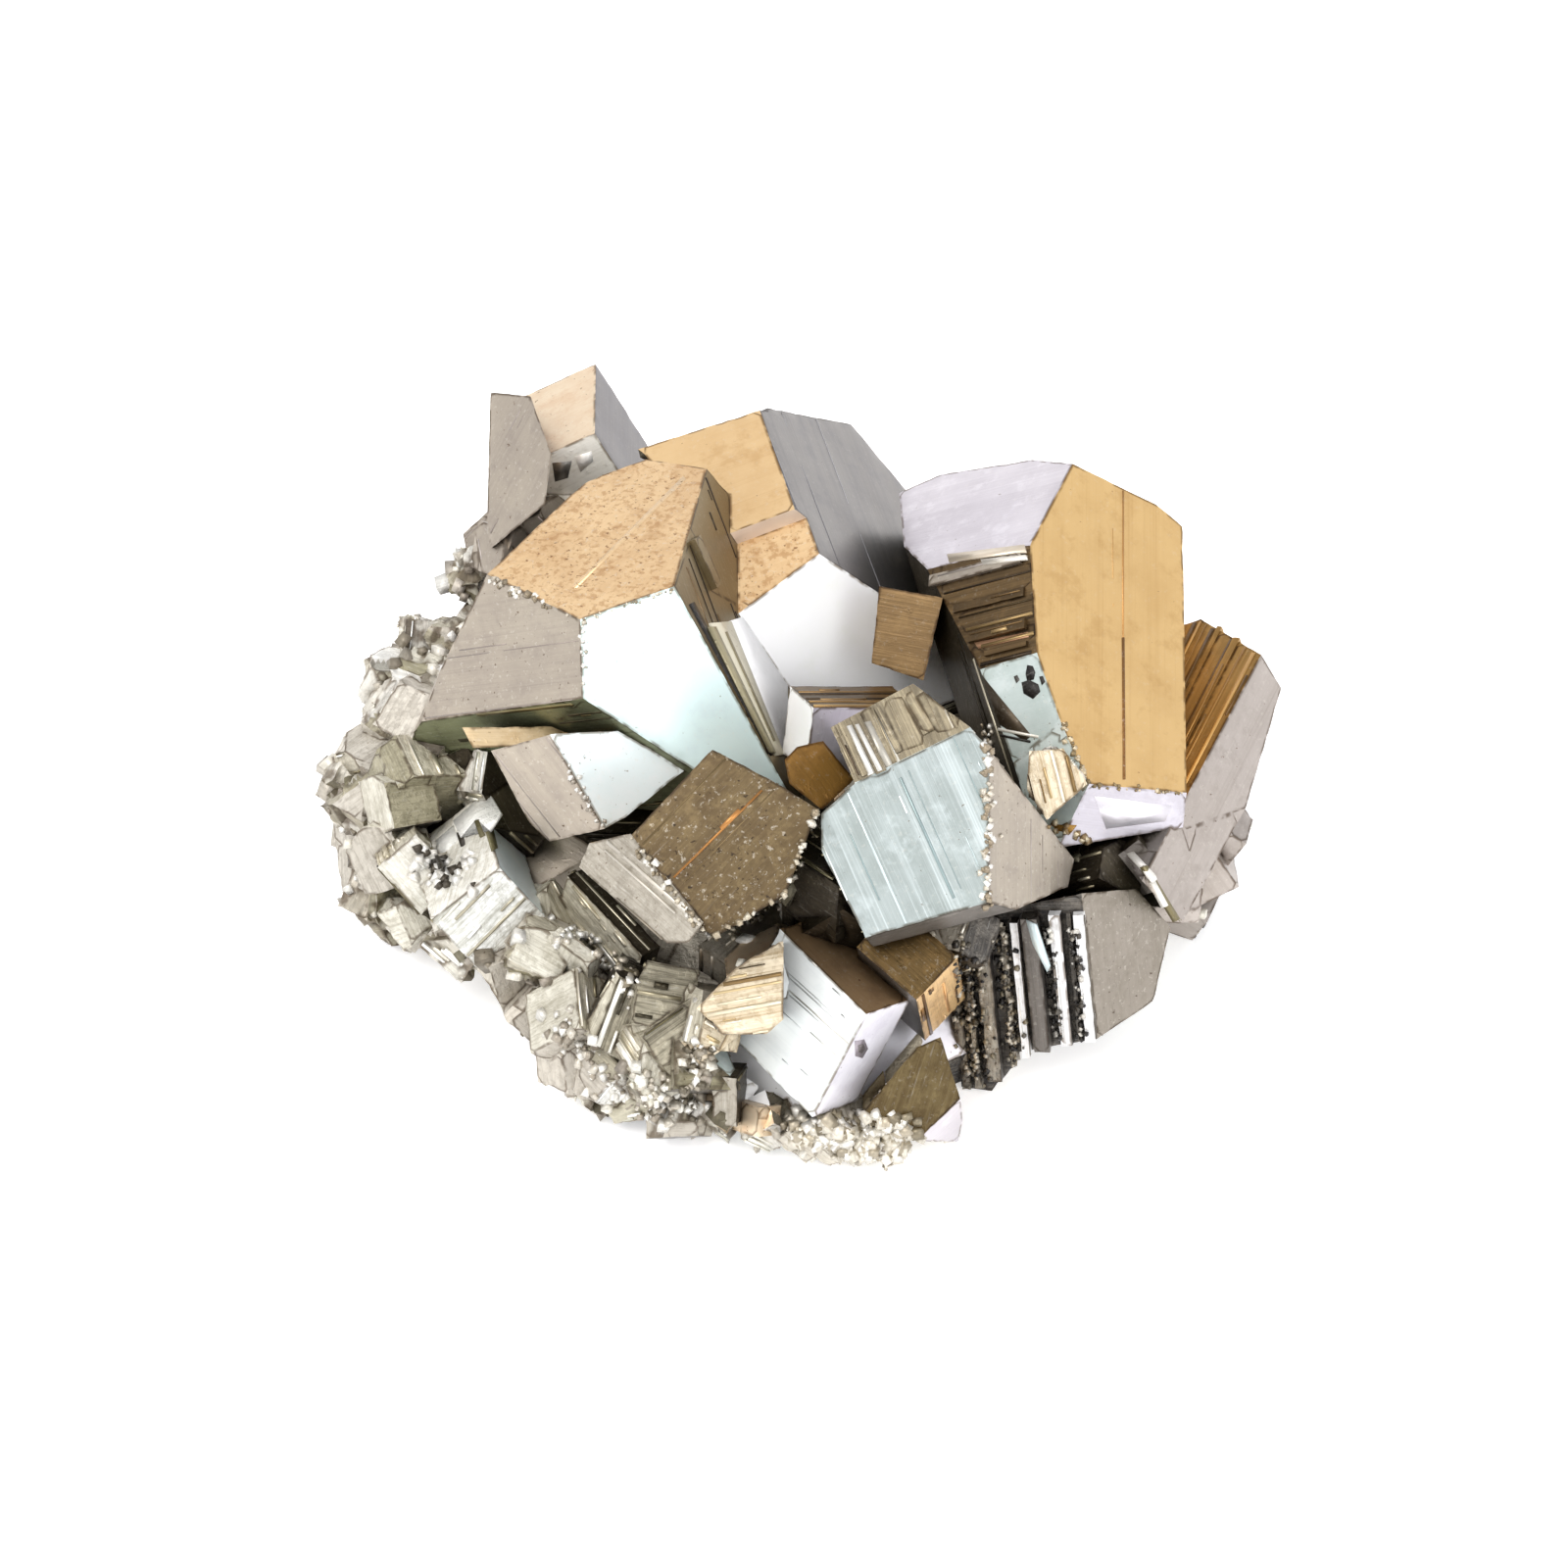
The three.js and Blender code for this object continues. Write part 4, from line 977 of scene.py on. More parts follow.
def prism(outline, normal, rise):
    """(points, triangles) of a flat prism: a convex outline sunk under its face, then raised and shrunk."""
    centre = outline.mean(0)
    count = len(outline)
    arms = centre - outline
    lengths = np.maximum(np.linalg.norm(arms, axis=1), 1e-9)[:, None]
    lower = outline - PRISM_ROOT * normal
    upper = outline + arms * np.minimum(MOST_SLOPE, EDGE_SLOPE / lengths) + rise * normal
    ring = np.arange(count)
    after = (ring + 1) % count
    fan = np.arange(1, count - 1)
    sides = [(ring, after, after + count), (ring, after + count, ring + count)]
    top, bottom = (0 * fan + count, fan + count, fan + 1 + count), (0 * fan, fan + 1, fan)
    tris = [np.stack(corners, axis=1) for corners in (*sides, top, bottom)]
    return np.vstack([lower, upper]), np.vstack(tris)


class Parts:
    """Small solids gathered into one mesh: points, triangles, tints, amounts and a centre for each."""

    def __init__(self):
        self.points, self.triangles, self.tints, self.amounts = [], [], [], []
        self.centres, self.outs, self.count = [], [], 0

    def add(self, verts, tris, tint, amounts, out):
        """One more part, which stands out from its face along out."""
        self.points.append(verts)
        self.triangles.append(tris + self.count)
        self.tints.append(np.broadcast_to(tint, (len(tris), 3)))
        self.amounts.append(np.broadcast_to(amounts, (len(tris), 4)))
        self.centres.append(verts.mean(0))
        self.outs.append(out)
        self.count += len(verts)

    def piece(self, name):
        """One mesh object of all the parts, kept inside the solid's box."""
        tris = np.vstack(self.triangles)
        made = new_piece(name, np.clip(np.vstack(self.points), low, high), tris)
        per_part = [len(t) for t in self.triangles]
        # painted shade, from the occlusion at the middle of each part
        painted_shade = PART_DARKENING * hollow_at(np.array(self.centres), np.array(self.outs))
        painted_shade = np.repeat(np.repeat(painted_shade, per_part), 3)
        tints, amounts = np.vstack(self.tints), np.vstack(self.amounts)
        growth = np.vstack(self.points)[tris.ravel()][:, :2]
        rims = np.full(3 * len(tris), FAR_RIM)
        dress(made, tints, tints * PART_LINES, amounts, painted_shade, rims, growth)
        print(name, len(per_part), "parts,", len(tris), "triangles")


# %% [markdown]
# Each lined finish has its own bars: their mean gap, widths, heights, the share that runs the whole face,
# and the tones they are drawn from. The tones are the streaks of light and dark that such a face shows.

# %% The bars of each lined finish
BARS = {
    # finish: gap, widths, heights, share of whole bars, tones
    "striped brown": (0.45, (0.06, 0.34), (0.05, 0.10), 0.6, "#b39769 #7d623d #43351f #382c1e #9a8055"),
    "striped gold": (0.55, (0.06, 0.34), (0.04, 0.09), 0.6, "#cfa25f #6d5230 #a67c42 #4b3820"),
    "streaked brown": (0.7, (0.04, 0.16), (0.05, 0.08), 0.5, "#cfc6b2 #57493a #a4977c #8b7d64"),
    "brown": (4.0, (0.05, 0.14), (0.01, 0.03), 0.3, "#6b5a3c #4d3f28 #786545"),
    "dark brown": (1.0, (0.06, 0.3), (0.02, 0.05), 0.5, "#6b5739 #34291c #80694a"),
    "lined blue": (1.3, (0.04, 0.22), (0.01, 0.04), 0.45, "#f2f8f7 #d5e2e1 #93a3a2 #c3d0cf"),
    "lined white": (1.2, (0.04, 0.14), (0.01, 0.02), 0.3, "#e6e8e6 #f0f4f4 #d8d5cb"),
    "olive": (0.8, (0.08, 0.4), (0.02, 0.08), 0.5, "#857a54 #4a4430 #9d926e #655b3c"),
    "cream": (0.3, (0.06, 0.35), (0.03, 0.16), 0.35, "#fbf3df #cdb384 #8a7048 #efe2c4 #d9c294 #4a3c28"),
    "orange": (0.35, (0.06, 0.3), (0.02, 0.1), 0.4, "#f3d3a4 #8a6438 #dfae74 #5c4226"),
    "lilac grey": (3.4, (0.04, 0.12), (0.01, 0.02), 0.35, "#9b918a #b5aca5 #8f857d"),
    "grey": (0.9, (0.06, 0.35), (0.02, 0.1), 0.3, "#cfc8ba #8a8172 #e6e0d2 #6f6757"),
    "dark grey": (2.6, (0.05, 0.2), (0.01, 0.02), 0.35, "#9b999b #7b797b #a9a7a9"),
    "rubble pale": (0.5, (0.05, 0.3), (0.02, 0.08), 0.4, "#fdfdf9 #dedbcc #ebe8da #b5ae98"),
    "pale rib": (0.5, (0.05, 0.2), (0.02, 0.06), 0.4, "#f7f7f2 #b3ada1 #6d665b"),
    "fibrous": (0.18, (0.1, 0.45), (0.03, 0.22), 0.35, "#fbf8ee #c5bba1 #e6dfcd #8d8469 #d6cdb6"),
    "splinters": (0.25, (0.1, 0.5), (0.05, 0.25), 0.3, "#f4f1e6 #3f392a #a39a80 #ddd6c4 #5f583f"),
    "dark": (0.5, (0.08, 0.4), (0.03, 0.15), 0.35, "#a0977c #6b634c #2b261d #c9c1aa"),
    "rubble cream": (0.5, (0.08, 0.4), (0.03, 0.12), 0.3, "#fdfcf6 #c5c3b4 #8d8267 #e9e3d3"),
}
print(len(BARS), "finishes with bars")

# %% [markdown]
# The bars are found on the flat map of each face. A level climbs across the growth lines by random gaps,
# and where the line at that level is inside the face it becomes a bar. Some bars run right through, and
# the rest end at random, as a growth step ends where its layer stopped growing.

# %% Grow bars on the lined faces
BAR_AMOUNTS = [0.1, 0.1, 0.05, 0.7]
BARRED_AREA = 4.0  # mm2: smaller polygons get no bars
BAR_MARGIN = 0.2  # mm between the first and last level and the polygon's extremes
BAR_END_GAP = 0.12  # mm between a bar's end and the polygon's edge
SHORTEST_BAR = 0.8
BAR_SEED = 1000


def crossings(ring, level):
    """Where the line across = level is inside a closed ring: its crossings in order, taken in pairs."""
    a, b = ring, np.roll(ring, -1, axis=0)
    cut = (a[:, 1] > level) != (b[:, 1] > level)
    share = (level - a[cut, 1]) / (b[cut, 1] - a[cut, 1])
    return np.sort(a[cut, 0] + share * (b[cut, 0] - a[cut, 0])).reshape(-1, 2)


def bars_on_face(index, gap, widths, rises, whole_share, source):
    """(outline, rise) of each bar on one polygon: levels at random gaps, each cut to the polygon's inside."""
    along, across, normal = along_of[index], across_of[index], face_normals[index]
    ring3 = points[polygons[index]]
    ring = np.stack([ring3 @ along, ring3 @ across], axis=1)
    offset = float(np.mean(ring3 @ normal))
    level, end = ring[:, 1].min() + BAR_MARGIN, ring[:, 1].max() - BAR_MARGIN
    made = []
    while level < end:
        width = source.uniform(*widths)
        one, other = crossings(ring, level), crossings(ring, level + width)
        if len(one) == len(other) == 1:
            start, stop = max(one[0, 0], other[0, 0]) + BAR_END_GAP, min(one[0, 1], other[0, 1]) - BAR_END_GAP
            if source.random() > whole_share:
                cut = np.sort(source.uniform(0, 1, 2))
                start, stop = start + cut[0] * (stop - start), start + cut[1] * (stop - start)
            if stop - start > SHORTEST_BAR:
                flat = [(start, level), (stop, level), (stop, level + width), (start, level + width)]
                outline = np.array([u * along + v * across + offset * normal for u, v in flat])
                made.append((outline, source.uniform(*rises)))
        level += width + source.exponential(gap)
    return made


bars = Parts()
for index in range(len(polygons)):
    finish = FINISH_NAMES[finish_of[index]]
    if finish not in BARS or face_areas[index] < BARRED_AREA:
        continue
    gap, widths, rises, whole_share, codes = BARS[finish]
    tones, normal = palette(codes), face_normals[index]
    source = np.random.default_rng(BAR_SEED + index)
    for outline, rise in bars_on_face(index, gap, widths, rises, whole_share, source):
        verts, tris = prism(outline, normal, rise)
        bars.add(verts, tris, tones[source.integers(len(tones))], BAR_AMOUNTS, normal)
bars.piece("growth_bars")

# %% [markdown]
# A few marks are single: a dark seam, an orange streak, a cream strip beside a crack, and a dark plate that
# paints the shadow in that crack. They could be painted into a picture for each face, but a thin plate is
# simpler, catches the light and stays sharp from close by. Its corners are given as places in the
# picture, and a streak is given by its ends and its width.

# %% The single marks
def streak(start, end, width):
    """The four corners of a straight streak in the picture: its ends moved aside by half its width."""
    start, end = np.array(start, float), np.array(end, float)
    step = (end - start) / np.linalg.norm(end - start)
    aside = np.array([-step[1], step[0]]) * width / 2
    return [start + aside, end + aside, end - aside, start - aside]


MARKS = [
    # corners in the picture, tint, how far it stands up, lined, pitted, crusty, metallic
    # the orange streak on the brown face, the seam on the speckled gold face and the blade between the ribs
    (streak((687, 896), (778, 806), 2.2), "#a97640", 0.07, (0.2, 0.2, 0.1, 0.8)),
    (streak((586, 600), (699, 487), 4.5), "#e6c79b", 0.02, (0.1, 0.8, 0.1, 0.7)),
    (
        [(1047, 938), (1058, 943), (1072, 986), (1069, 992), (1053, 962)],
        "#d5e3e3", 0.12, (0.2, 0.2, 0.1, 0.3),
    ),
    (streak((735, 846), (755, 826), 4.2), "#c48a4e", 0.08, (0.2, 0.2, 0.1, 0.8)),
    # the seams down the deep gold face
    (streak((1146, 500), (1146, 660), 1.6), "#b98a52", 0.03, (0.2, 0.2, 0.1, 0.8)),
    (streak((1146, 650), (1147, 796), 2.6), "#7d572b", 0.04, (0.2, 0.4, 0.3, 0.6)),
    (streak((1135, 500), (1136, 620), 1.2), "#c69c62", 0.01, (0.2, 0.2, 0.1, 0.8)),
    # the pale strips in the cleft between the left and the back crystal, the white one a painted bright
    # reflection, and a dark plate that paints the shadow down the cleft
    ([(742, 634), (757, 629), (803, 700), (804, 764), (798, 772)], "#ffffff", 0.1, (0.05, 0.05, 0.0, 0.1)),
    ([(722, 636), (744, 634), (799, 772), (790, 772)], "#ddd6bf", 0.2, (0.6, 0.3, 0.2, 0.3)),
    ([(721, 640), (727, 640), (789, 770), (784, 768)], "#a39a7b", 0.3, (0.6, 0.3, 0.2, 0.4)),
    (streak((738, 645), (788, 758), 2.0), "#8f8568", 0.26, (0.6, 0.3, 0.2, 0.4)),
    # a painted shadow: a near black plate where the cleft lies in shade
    (streak((705, 615), (789, 771), 6.0), "#1f1a14", 0.05, (0.3, 0.2, 0.2, 0.3)),
    # the steps over the striped side of the right crystal
    ([(966, 566), (1046, 556), (1047, 563), (968, 574)], "#d8cbb6", 0.06, (0.6, 0.1, 0.1, 0.7)),
    ([(1000, 571), (1047, 566), (1048, 571), (1003, 577)], "#f3ede0", 0.05, (0.6, 0.1, 0.1, 0.7)),
    ([(994, 656), (1050, 645), (1050, 650), (998, 662)], "#d9a984", 0.06, (0.6, 0.1, 0.1, 0.7)),
    # the pits on the pale triangle
    (
        [(1048, 678), (1054, 679), (1057, 686), (1055, 694), (1048, 696), (1046, 688)],
        "#1d1a18", 0.03, (0.2, 0.2, 0.6, 0.3),
    ),
    (
        [(1042, 696), (1050, 693), (1060, 698), (1062, 706), (1054, 714), (1044, 708)],
        "#26221f", 0.04, (0.2, 0.2, 0.6, 0.3),
    ),
    ([(1060, 690), (1064, 689), (1067, 696), (1063, 700)], "#332f2b", 0.03, (0.2, 0.2, 0.6, 0.3)),
    ([(1034, 690), (1038, 688), (1041, 694), (1037, 698)], "#4a4640", 0.03, (0.2, 0.2, 0.6, 0.3)),
    # the edges under the pale triangle
    ([(1072, 841), (1098, 842), (1092, 850), (1078, 848)], "#a9803f", 0.04, (0.3, 0.3, 0.2, 0.7)),
    ([(1002, 689), (1053, 751), (1046, 757), (1020, 740)], "#453a2b", 0.05, (0.3, 0.3, 0.1, 0.6)),
    (streak((1018, 744), (1060, 752), 3.0), "#e2ddd0", 0.08, (0.6, 0.2, 0.1, 0.4)),
    (streak((1020, 750), (1052, 757), 2.6), "#221d17", 0.08, (0.6, 0.2, 0.1, 0.4)),
    # the broken rods in the crevice at the right
    (streak((1152, 870), (1178, 898), 7.0), "#f0ede4", 0.25, (0.6, 0.2, 0.1, 0.4)),
    (streak((1166, 884), (1200, 940), 4.0), "#7d7351", 0.3, (0.6, 0.2, 0.1, 0.5)),
    (streak((1174, 900), (1188, 926), 3.0), "#f4f1e8", 0.35, (0.6, 0.2, 0.1, 0.4)),
    # the pale steps on top of the centre right crystal
    ([(862, 741), (869, 739), (893, 789), (886, 792)], "#e8e6df", 0.08, (0.6, 0.2, 0.1, 0.4)),
    ([(872, 739), (876, 738), (901, 786), (896, 788)], "#d9d6cd", 0.07, (0.6, 0.2, 0.1, 0.4)),
    ([(880, 737), (888, 735), (911, 780), (903, 784)], "#bdb8ab", 0.07, (0.6, 0.2, 0.1, 0.5)),
    ([(893, 733), (896, 732), (919, 777), (916, 778)], "#c9c4b6", 0.06, (0.6, 0.2, 0.1, 0.5)),
    # the fibrous patches and dark cracks of the lower left box
    (
        [(462, 838), (498, 806), (512, 830), (500, 848), (486, 836), (470, 856)],
        "#f4f3ec", 0.06, (0.9, 0.3, 0.5, 0.2),
    ),
    ([(440, 862), (463, 842), (468, 856), (452, 872)], "#f6f5ee", 0.05, (0.5, 0.4, 0.6, 0.2)),
    ([(430, 880), (455, 872), (459, 876), (437, 887)], "#2f2a20", 0.04, (0.3, 0.3, 0.6, 0.2)),
    ([(444, 868), (448, 866), (454, 884), (449, 886)], "#2f2a20", 0.05, (0.3, 0.3, 0.6, 0.2)),
    ([(466, 850), (471, 847), (475, 862), (470, 864)], "#39332a", 0.05, (0.3, 0.3, 0.6, 0.2)),
    ([(484, 838), (489, 836), (495, 852), (490, 855)], "#6e6747", 0.07, (0.3, 0.3, 0.6, 0.2)),
    ([(497, 848), (503, 846), (508, 866), (503, 868)], "#7a7350", 0.05, (0.3, 0.3, 0.6, 0.2)),
    # the dark and the bright facet of the top left crystal
    ([(563, 472), (584, 470), (580, 488), (566, 492)], "#7e7a74", 0.03, (0.3, 0.2, 0.2, 0.7)),
    ([(586, 466), (604, 460), (606, 470), (592, 482)], "#f4f1ea", 0.05, (0.3, 0.2, 0.2, 0.4)),
    # the dent and the crusty edge of the bottom block
    (
        [(872, 1062), (882, 1060), (886, 1070), (880, 1080), (872, 1078)],
        "#a59ca2", 0.03, (0.2, 0.5, 0.4, 0.5),
    ),
    (
        [(875, 1066), (881, 1064), (883, 1070), (879, 1075), (875, 1074)],
        "#77706f", 0.05, (0.2, 0.5, 0.4, 0.5),
    ),
    (
        [(902, 1094), (938, 1052), (942, 1062), (938, 1076), (905, 1112)],
        "#eadcc0", 0.06, (0.6, 0.5, 0.6, 0.4),
    ),
    ([(872, 1130), (902, 1094), (905, 1112), (885, 1136)], "#d9c39a", 0.06, (0.6, 0.5, 0.6, 0.4)),
    # a gold edge beside the gold brown face, and a pale strip on the lilac one
    ([(838, 822), (866, 796), (872, 800), (843, 829)], "#e6c9a4", 0.06, (0.4, 0.3, 0.3, 0.6)),
    ([(1116, 812), (1196, 822), (1190, 838), (1128, 846)], "#eeeaf0", 0.03, (0.3, 0.2, 0.1, 0.6)),
]
print(len(MARKS), "marks")

# %% [markdown]
# A mark's corners are laid on the plane of the face under its middle. They are turned round where they
# run the wrong way, so that the plate's top looks outwards. A face that the picture sees at a glancing
# angle stretches its marks: one crack of the lower left box reaches past its face for that reason, and is
# a thin spike when it is seen from behind.

# %% Lay the marks on their faces
marks = Parts()
for places, code, rise, amounts in MARKS:
    point, index = hit(np.mean(places, axis=0))
    normal = face_normals[index]
    outline = np.array([on_plane(place, point, normal) for place in places])
    if np.dot(np.cross(outline[1] - outline[0], outline[2] - outline[0]), normal) < 0:
        outline = outline[::-1]
    verts, tris = prism(outline, normal, rise)
    marks.add(verts, tris, linear(code), amounts, normal)
marks.piece("face_marks")

# %% [markdown]
# ## Broken pyrite and sugar grains
# The foot of the cluster is broken pyrite: splinters and blocks of all sizes, packed at every angle, with
# small bright grains between them. Scattered copies of one shape would look like gravel, so each block
# gets its own proportions, its eight corners are shifted, and the larger ones sink into what they sit on.

# %% Blocks with shifted corners
# BLOCK_DARKENING: the share of occlusion that blocks and grains show as painted shade
BLOCK_DARKENING = 0.8
BLOCK_LINES = 0.6
BLOCK_SHADES = (0.8, 1.12)  # of the six sides of a block
BLOCK_LIFT = 0.3  # mm over the block's middle where its hollow value is measured
BLOCK_MAP_SHIFT = 11
CUBE = np.array([[x, y, z] for z in (-0.5, 0.5) for y in (-0.5, 0.5) for x in (-0.5, 0.5)])
CUBE_SIDES = [(0, 2, 3, 1), (4, 5, 7, 6), (0, 1, 5, 4), (2, 6, 7, 3), (0, 4, 6, 2), (1, 3, 7, 5)]
CUBE_TRIANGLES = np.array([t for a, b, c, d in CUBE_SIDES for t in ((a, b, c), (a, c, d))])


def turned_frames(outs, lean, source):
    """Three perpendicular unit vectors for each block: the last leans from its out vector by chance."""
    third = outs + lean * source.normal(size=outs.shape)
    third /= np.linalg.norm(third, axis=1)[:, None]
    first = np.cross(third, source.normal(size=outs.shape))
    first /= np.linalg.norm(first, axis=1)[:, None]
    return np.stack([first, np.cross(third, first), third], axis=1)


def drawn(codes, count, source):
    """A tint for each of count blocks, drawn by chance from a few."""
    tones = palette(codes)
    return tones[source.integers(len(tones), size=count)]


def blocks(name, centres, outs, sizes, tints, amounts, source, lean, shift):
    """One piece of many blocks: centre + corner * size along the block's own axes, corners shifted."""
    frames = turned_frames(outs, lean, source)
    corners = (CUBE[None] + shift * source.uniform(-1, 1, (len(centres), 8, 3))) * sizes[:, None]
    verts = centres[:, None] + np.einsum("nki,nij->nkj", corners, frames)
    tris = (CUBE_TRIANGLES[None] + 8 * np.arange(len(centres))[:, None, None]).reshape(-1, 3)
    verts = np.clip(verts.reshape(-1, 3), low, high)
    side_shade = source.uniform(*BLOCK_SHADES, (len(centres), len(CUBE_SIDES), 1))
    tints = np.repeat(tints[:, None] * side_shade, 2, axis=1).reshape(-1, 3)
    # painted shade, from the occlusion just over the middle of each block
    painted_shade = BLOCK_DARKENING * hollow_at(centres + BLOCK_LIFT * outs, outs)
    painted_shade = np.repeat(painted_shade, CUBE_TRIANGLES.size)
    growth = corners + BLOCK_MAP_SHIFT * np.arange(len(centres))[:, None, None]
    growth = growth.reshape(-1, 3)[tris.ravel()][:, :2]
    amounts, rims = np.broadcast_to(amounts, (len(tris), 4)), np.full(3 * len(tris), FAR_RIM)
    dress(new_piece(name, verts, tris), tints, tints * BLOCK_LINES, amounts, painted_shade, rims, growth)
    print(name, len(centres), "blocks,", len(tris), "triangles")


print("a block has", len(CUBE_TRIANGLES), "triangles")

# %% [markdown]
# Blocks are scattered by area, because a count for each face would crowd the small ones. A triangle of the
# worn skin is drawn first, and then a point in it: two shares along its sides, folded back when they
# reach past the third side.

# %% Random points on the skin
def points_on(weights, count, source):
    """(points, normals) on the worn skin: a triangle by chance, by area times weight, then a point in it."""
    corners = worn[triangles]
    turn = np.cross(corners[:, 1] - corners[:, 0], corners[:, 2] - corners[:, 0])
    area = np.linalg.norm(turn, axis=1)
    chance = area * weights
    pick = source.choice(len(triangles), count, p=chance / chance.sum())
    u, v = source.uniform(0, 1, (2, count))
    fold = u + v > 1
    u, v = np.where(fold, 1 - u, u)[:, None], np.where(fold, 1 - v, v)[:, None]
    a, b, c = corners[pick].transpose(1, 0, 2)
    return a + u * (b - a) + v * (c - a), face_normals[patch[pick]]


# %% [markdown]
# The blocks lie on the rubble, and the small grains also on the white foot, twice as close there. Sizes
# spread about their mean by a factor, so a few are much larger than the rest. Blocks and grains have
# seeds of their own, so a change to the ones leaves the others as they are.

# %% Scatter the broken blocks over the rough faces
BLOCKS, GRAINS = 100, 440
BLOCK_TONES = "#cfc6b8 #bbb3a6 #ece7da #a9a389 #dfdacc #a09888 #faf8f0 #c6bdae #8d866f #dad3c5"
GRAIN_TONES = "#f6f3ea #e5e0d1 #c9c1b1 #a2988a #8a8170 #efeadc"
BLOCK_SIZES = (1.0, 0.7, 0.6), (1.8, 1.2, 0.9)  # mm: the least and the greatest length, width and height
GRAIN_SIZES = 0.25, 0.62
BLOCK_SUNK, GRAIN_RAISED = 0.25, 0.05
BLOCK_SPREAD, GRAIN_SPREAD = 0.35, 0.4
SUGAR_CROWD = 2.0  # how much denser the small grains are on the white foot
sugary = (finish_of == FINISH_NAMES.index("sugar white")) & ~on_base
block_weight = rubble_of[patch].astype(float)
grain_weight = block_weight + SUGAR_CROWD * sugary[patch]

source = np.random.default_rng(31)
centres, outs = points_on(block_weight, BLOCKS, source)
scale = np.exp(BLOCK_SPREAD * source.normal(size=(BLOCKS, 1)))
sizes = scale * source.uniform(*BLOCK_SIZES, (BLOCKS, 3))
tints, amounts = drawn(BLOCK_TONES, BLOCKS, source), [0.8, 0.4, 0.5, 0.35]
centres = centres - BLOCK_SUNK * outs
blocks("broken_blocks", centres, outs, sizes, tints, amounts, source, lean=0.3, shift=0.13)

source = np.random.default_rng(32)
centres, outs = points_on(grain_weight, GRAINS, source)
scale = np.exp(GRAIN_SPREAD * source.normal(size=(GRAINS, 1)))
sizes = scale * source.uniform(*GRAIN_SIZES, (GRAINS, 3))
tints, amounts = drawn(GRAIN_TONES, GRAINS, source), [0.0, 0.2, 0.3, 0.3]
centres = centres + GRAIN_RAISED * outs
blocks("small_grains", centres, outs, sizes, tints, amounts, source, lean=0.8, shift=0.14)

# %% [markdown]
# Bright sugary grains also line the edges where crystals meet, and a white cluster of them fills the foot
# at the front. Scattered over the whole skin they would look like dust, so they are laid along lines in
# the picture, each dropped on whatever is under it.

# %% The lines of sugary grains
SUGAR_LINES = [
    # the line's places, its width, grains for each picture unit, sizes, tones
    ([(1008, 745), (1009, 830), (1007, 925)], 9, 0.45, (0.2, 0.5), "#f7f4ec #d9d0bf #a2937c"),
    ([(836, 830), (822, 860), (802, 914)], 8, 0.35, (0.15, 0.42), "#cbc1ab #a5967c #e6dfcf"),
    ([(802, 916), (770, 935), (732, 957)], 8, 0.4, (0.15, 0.42), "#e6dfcf #b3a58c #cfc5af"),
    ([(645, 855), (712, 945), (728, 958)], 7, 0.35, (0.15, 0.4), "#cfc4ae #f3efe4 #93866f"),
    ([(497, 588), (560, 620), (594, 636)], 7, 0.3, (0.12, 0.4), "#f6f2e8 #c4bbaa #8a7d68"),
    ([(594, 640), (595, 700)], 5, 0.25, (0.12, 0.3), "#f6f2e8 #c4bbaa"),
    ([(592, 634), (640, 618), (688, 600)], 4, 0.2, (0.1, 0.25), "#efe6d2 #9d8f77"),
    ([(575, 775), (600, 820), (616, 848)], 7, 0.3, (0.12, 0.35), "#e9e6dd #b2a99b #f8f6f0"),
    ([(808, 1152), (870, 1167), (930, 1166)], 26, 1.5, (0.35, 0.95), "#f6f2e8 #e3dccb #b9ae98"),
    ([(840, 1143), (880, 1150), (925, 1150)], 18, 0.9, (0.3, 0.8), "#f6f2e8 #e3dccb #8e836c"),
    ([(712, 1070), (714, 1100), (706, 1128)], 26, 1.0, (0.25, 0.7), "#f4f1e8 #a59c8c #6c6454"),
    ([(650, 1090), (672, 1110), (690, 1130)], 22, 0.6, (0.25, 0.7), "#f0ede2 #c5bdad"),
    ([(560, 1040), (620, 1100), (680, 1140)], 34, 0.5, (0.25, 0.7), "#d8d1c2 #aaa090 #f2efe6"),
    ([(600, 975), (640, 990), (648, 1020)], 20, 0.5, (0.2, 0.6), "#f2efe6 #c8bfae #857b67"),
    ([(430, 870), (450, 895), (480, 880)], 30, 0.7, (0.3, 0.8), "#f7f5ee #eeeae0 #4a4338"),
    ([(568, 962), (590, 948), (610, 960)], 9, 0.6, (0.25, 0.6), "#f7f5ee #dcd5c6"),
    ([(1085, 738), (1108, 798)], 6, 0.4, (0.15, 0.4), "#d7c6a6 #8d7a58"),
    ([(1112, 801), (1205, 810)], 4, 0.25, (0.1, 0.3), "#d7c6a6 #8d7a58"),
    ([(1070, 840), (1110, 858)], 8, 0.5, (0.2, 0.5), "#e8d9b8 #8a7350"),
    ([(985, 965), (992, 1040), (1000, 1100)], 24, 1.3, (0.12, 0.4), "#c9c1b0 #6b655b #8f8570 #2e2b29"),
    ([(1020, 950), (1028, 1020), (1036, 1078)], 16, 1.0, (0.12, 0.4), "#c9c1b0 #6b655b #8f8570 #2e2b29"),
    ([(1068, 945), (1074, 1000), (1078, 1060)], 10, 0.6, (0.15, 0.45), "#dedad0 #57524a #2e2b29"),
    ([(1095, 945), (1100, 1000), (1104, 1060)], 8, 0.5, (0.15, 0.4), "#dedad0 #57524a #2e2b29"),
]
print(len(SUGAR_LINES), "lines of grains")

# %% [markdown]
# A grain's place is a random share of the way along its line and a random step aside, so the grains crowd
# on the line and thin out beside it. A grain whose line of sight misses the body is left out.

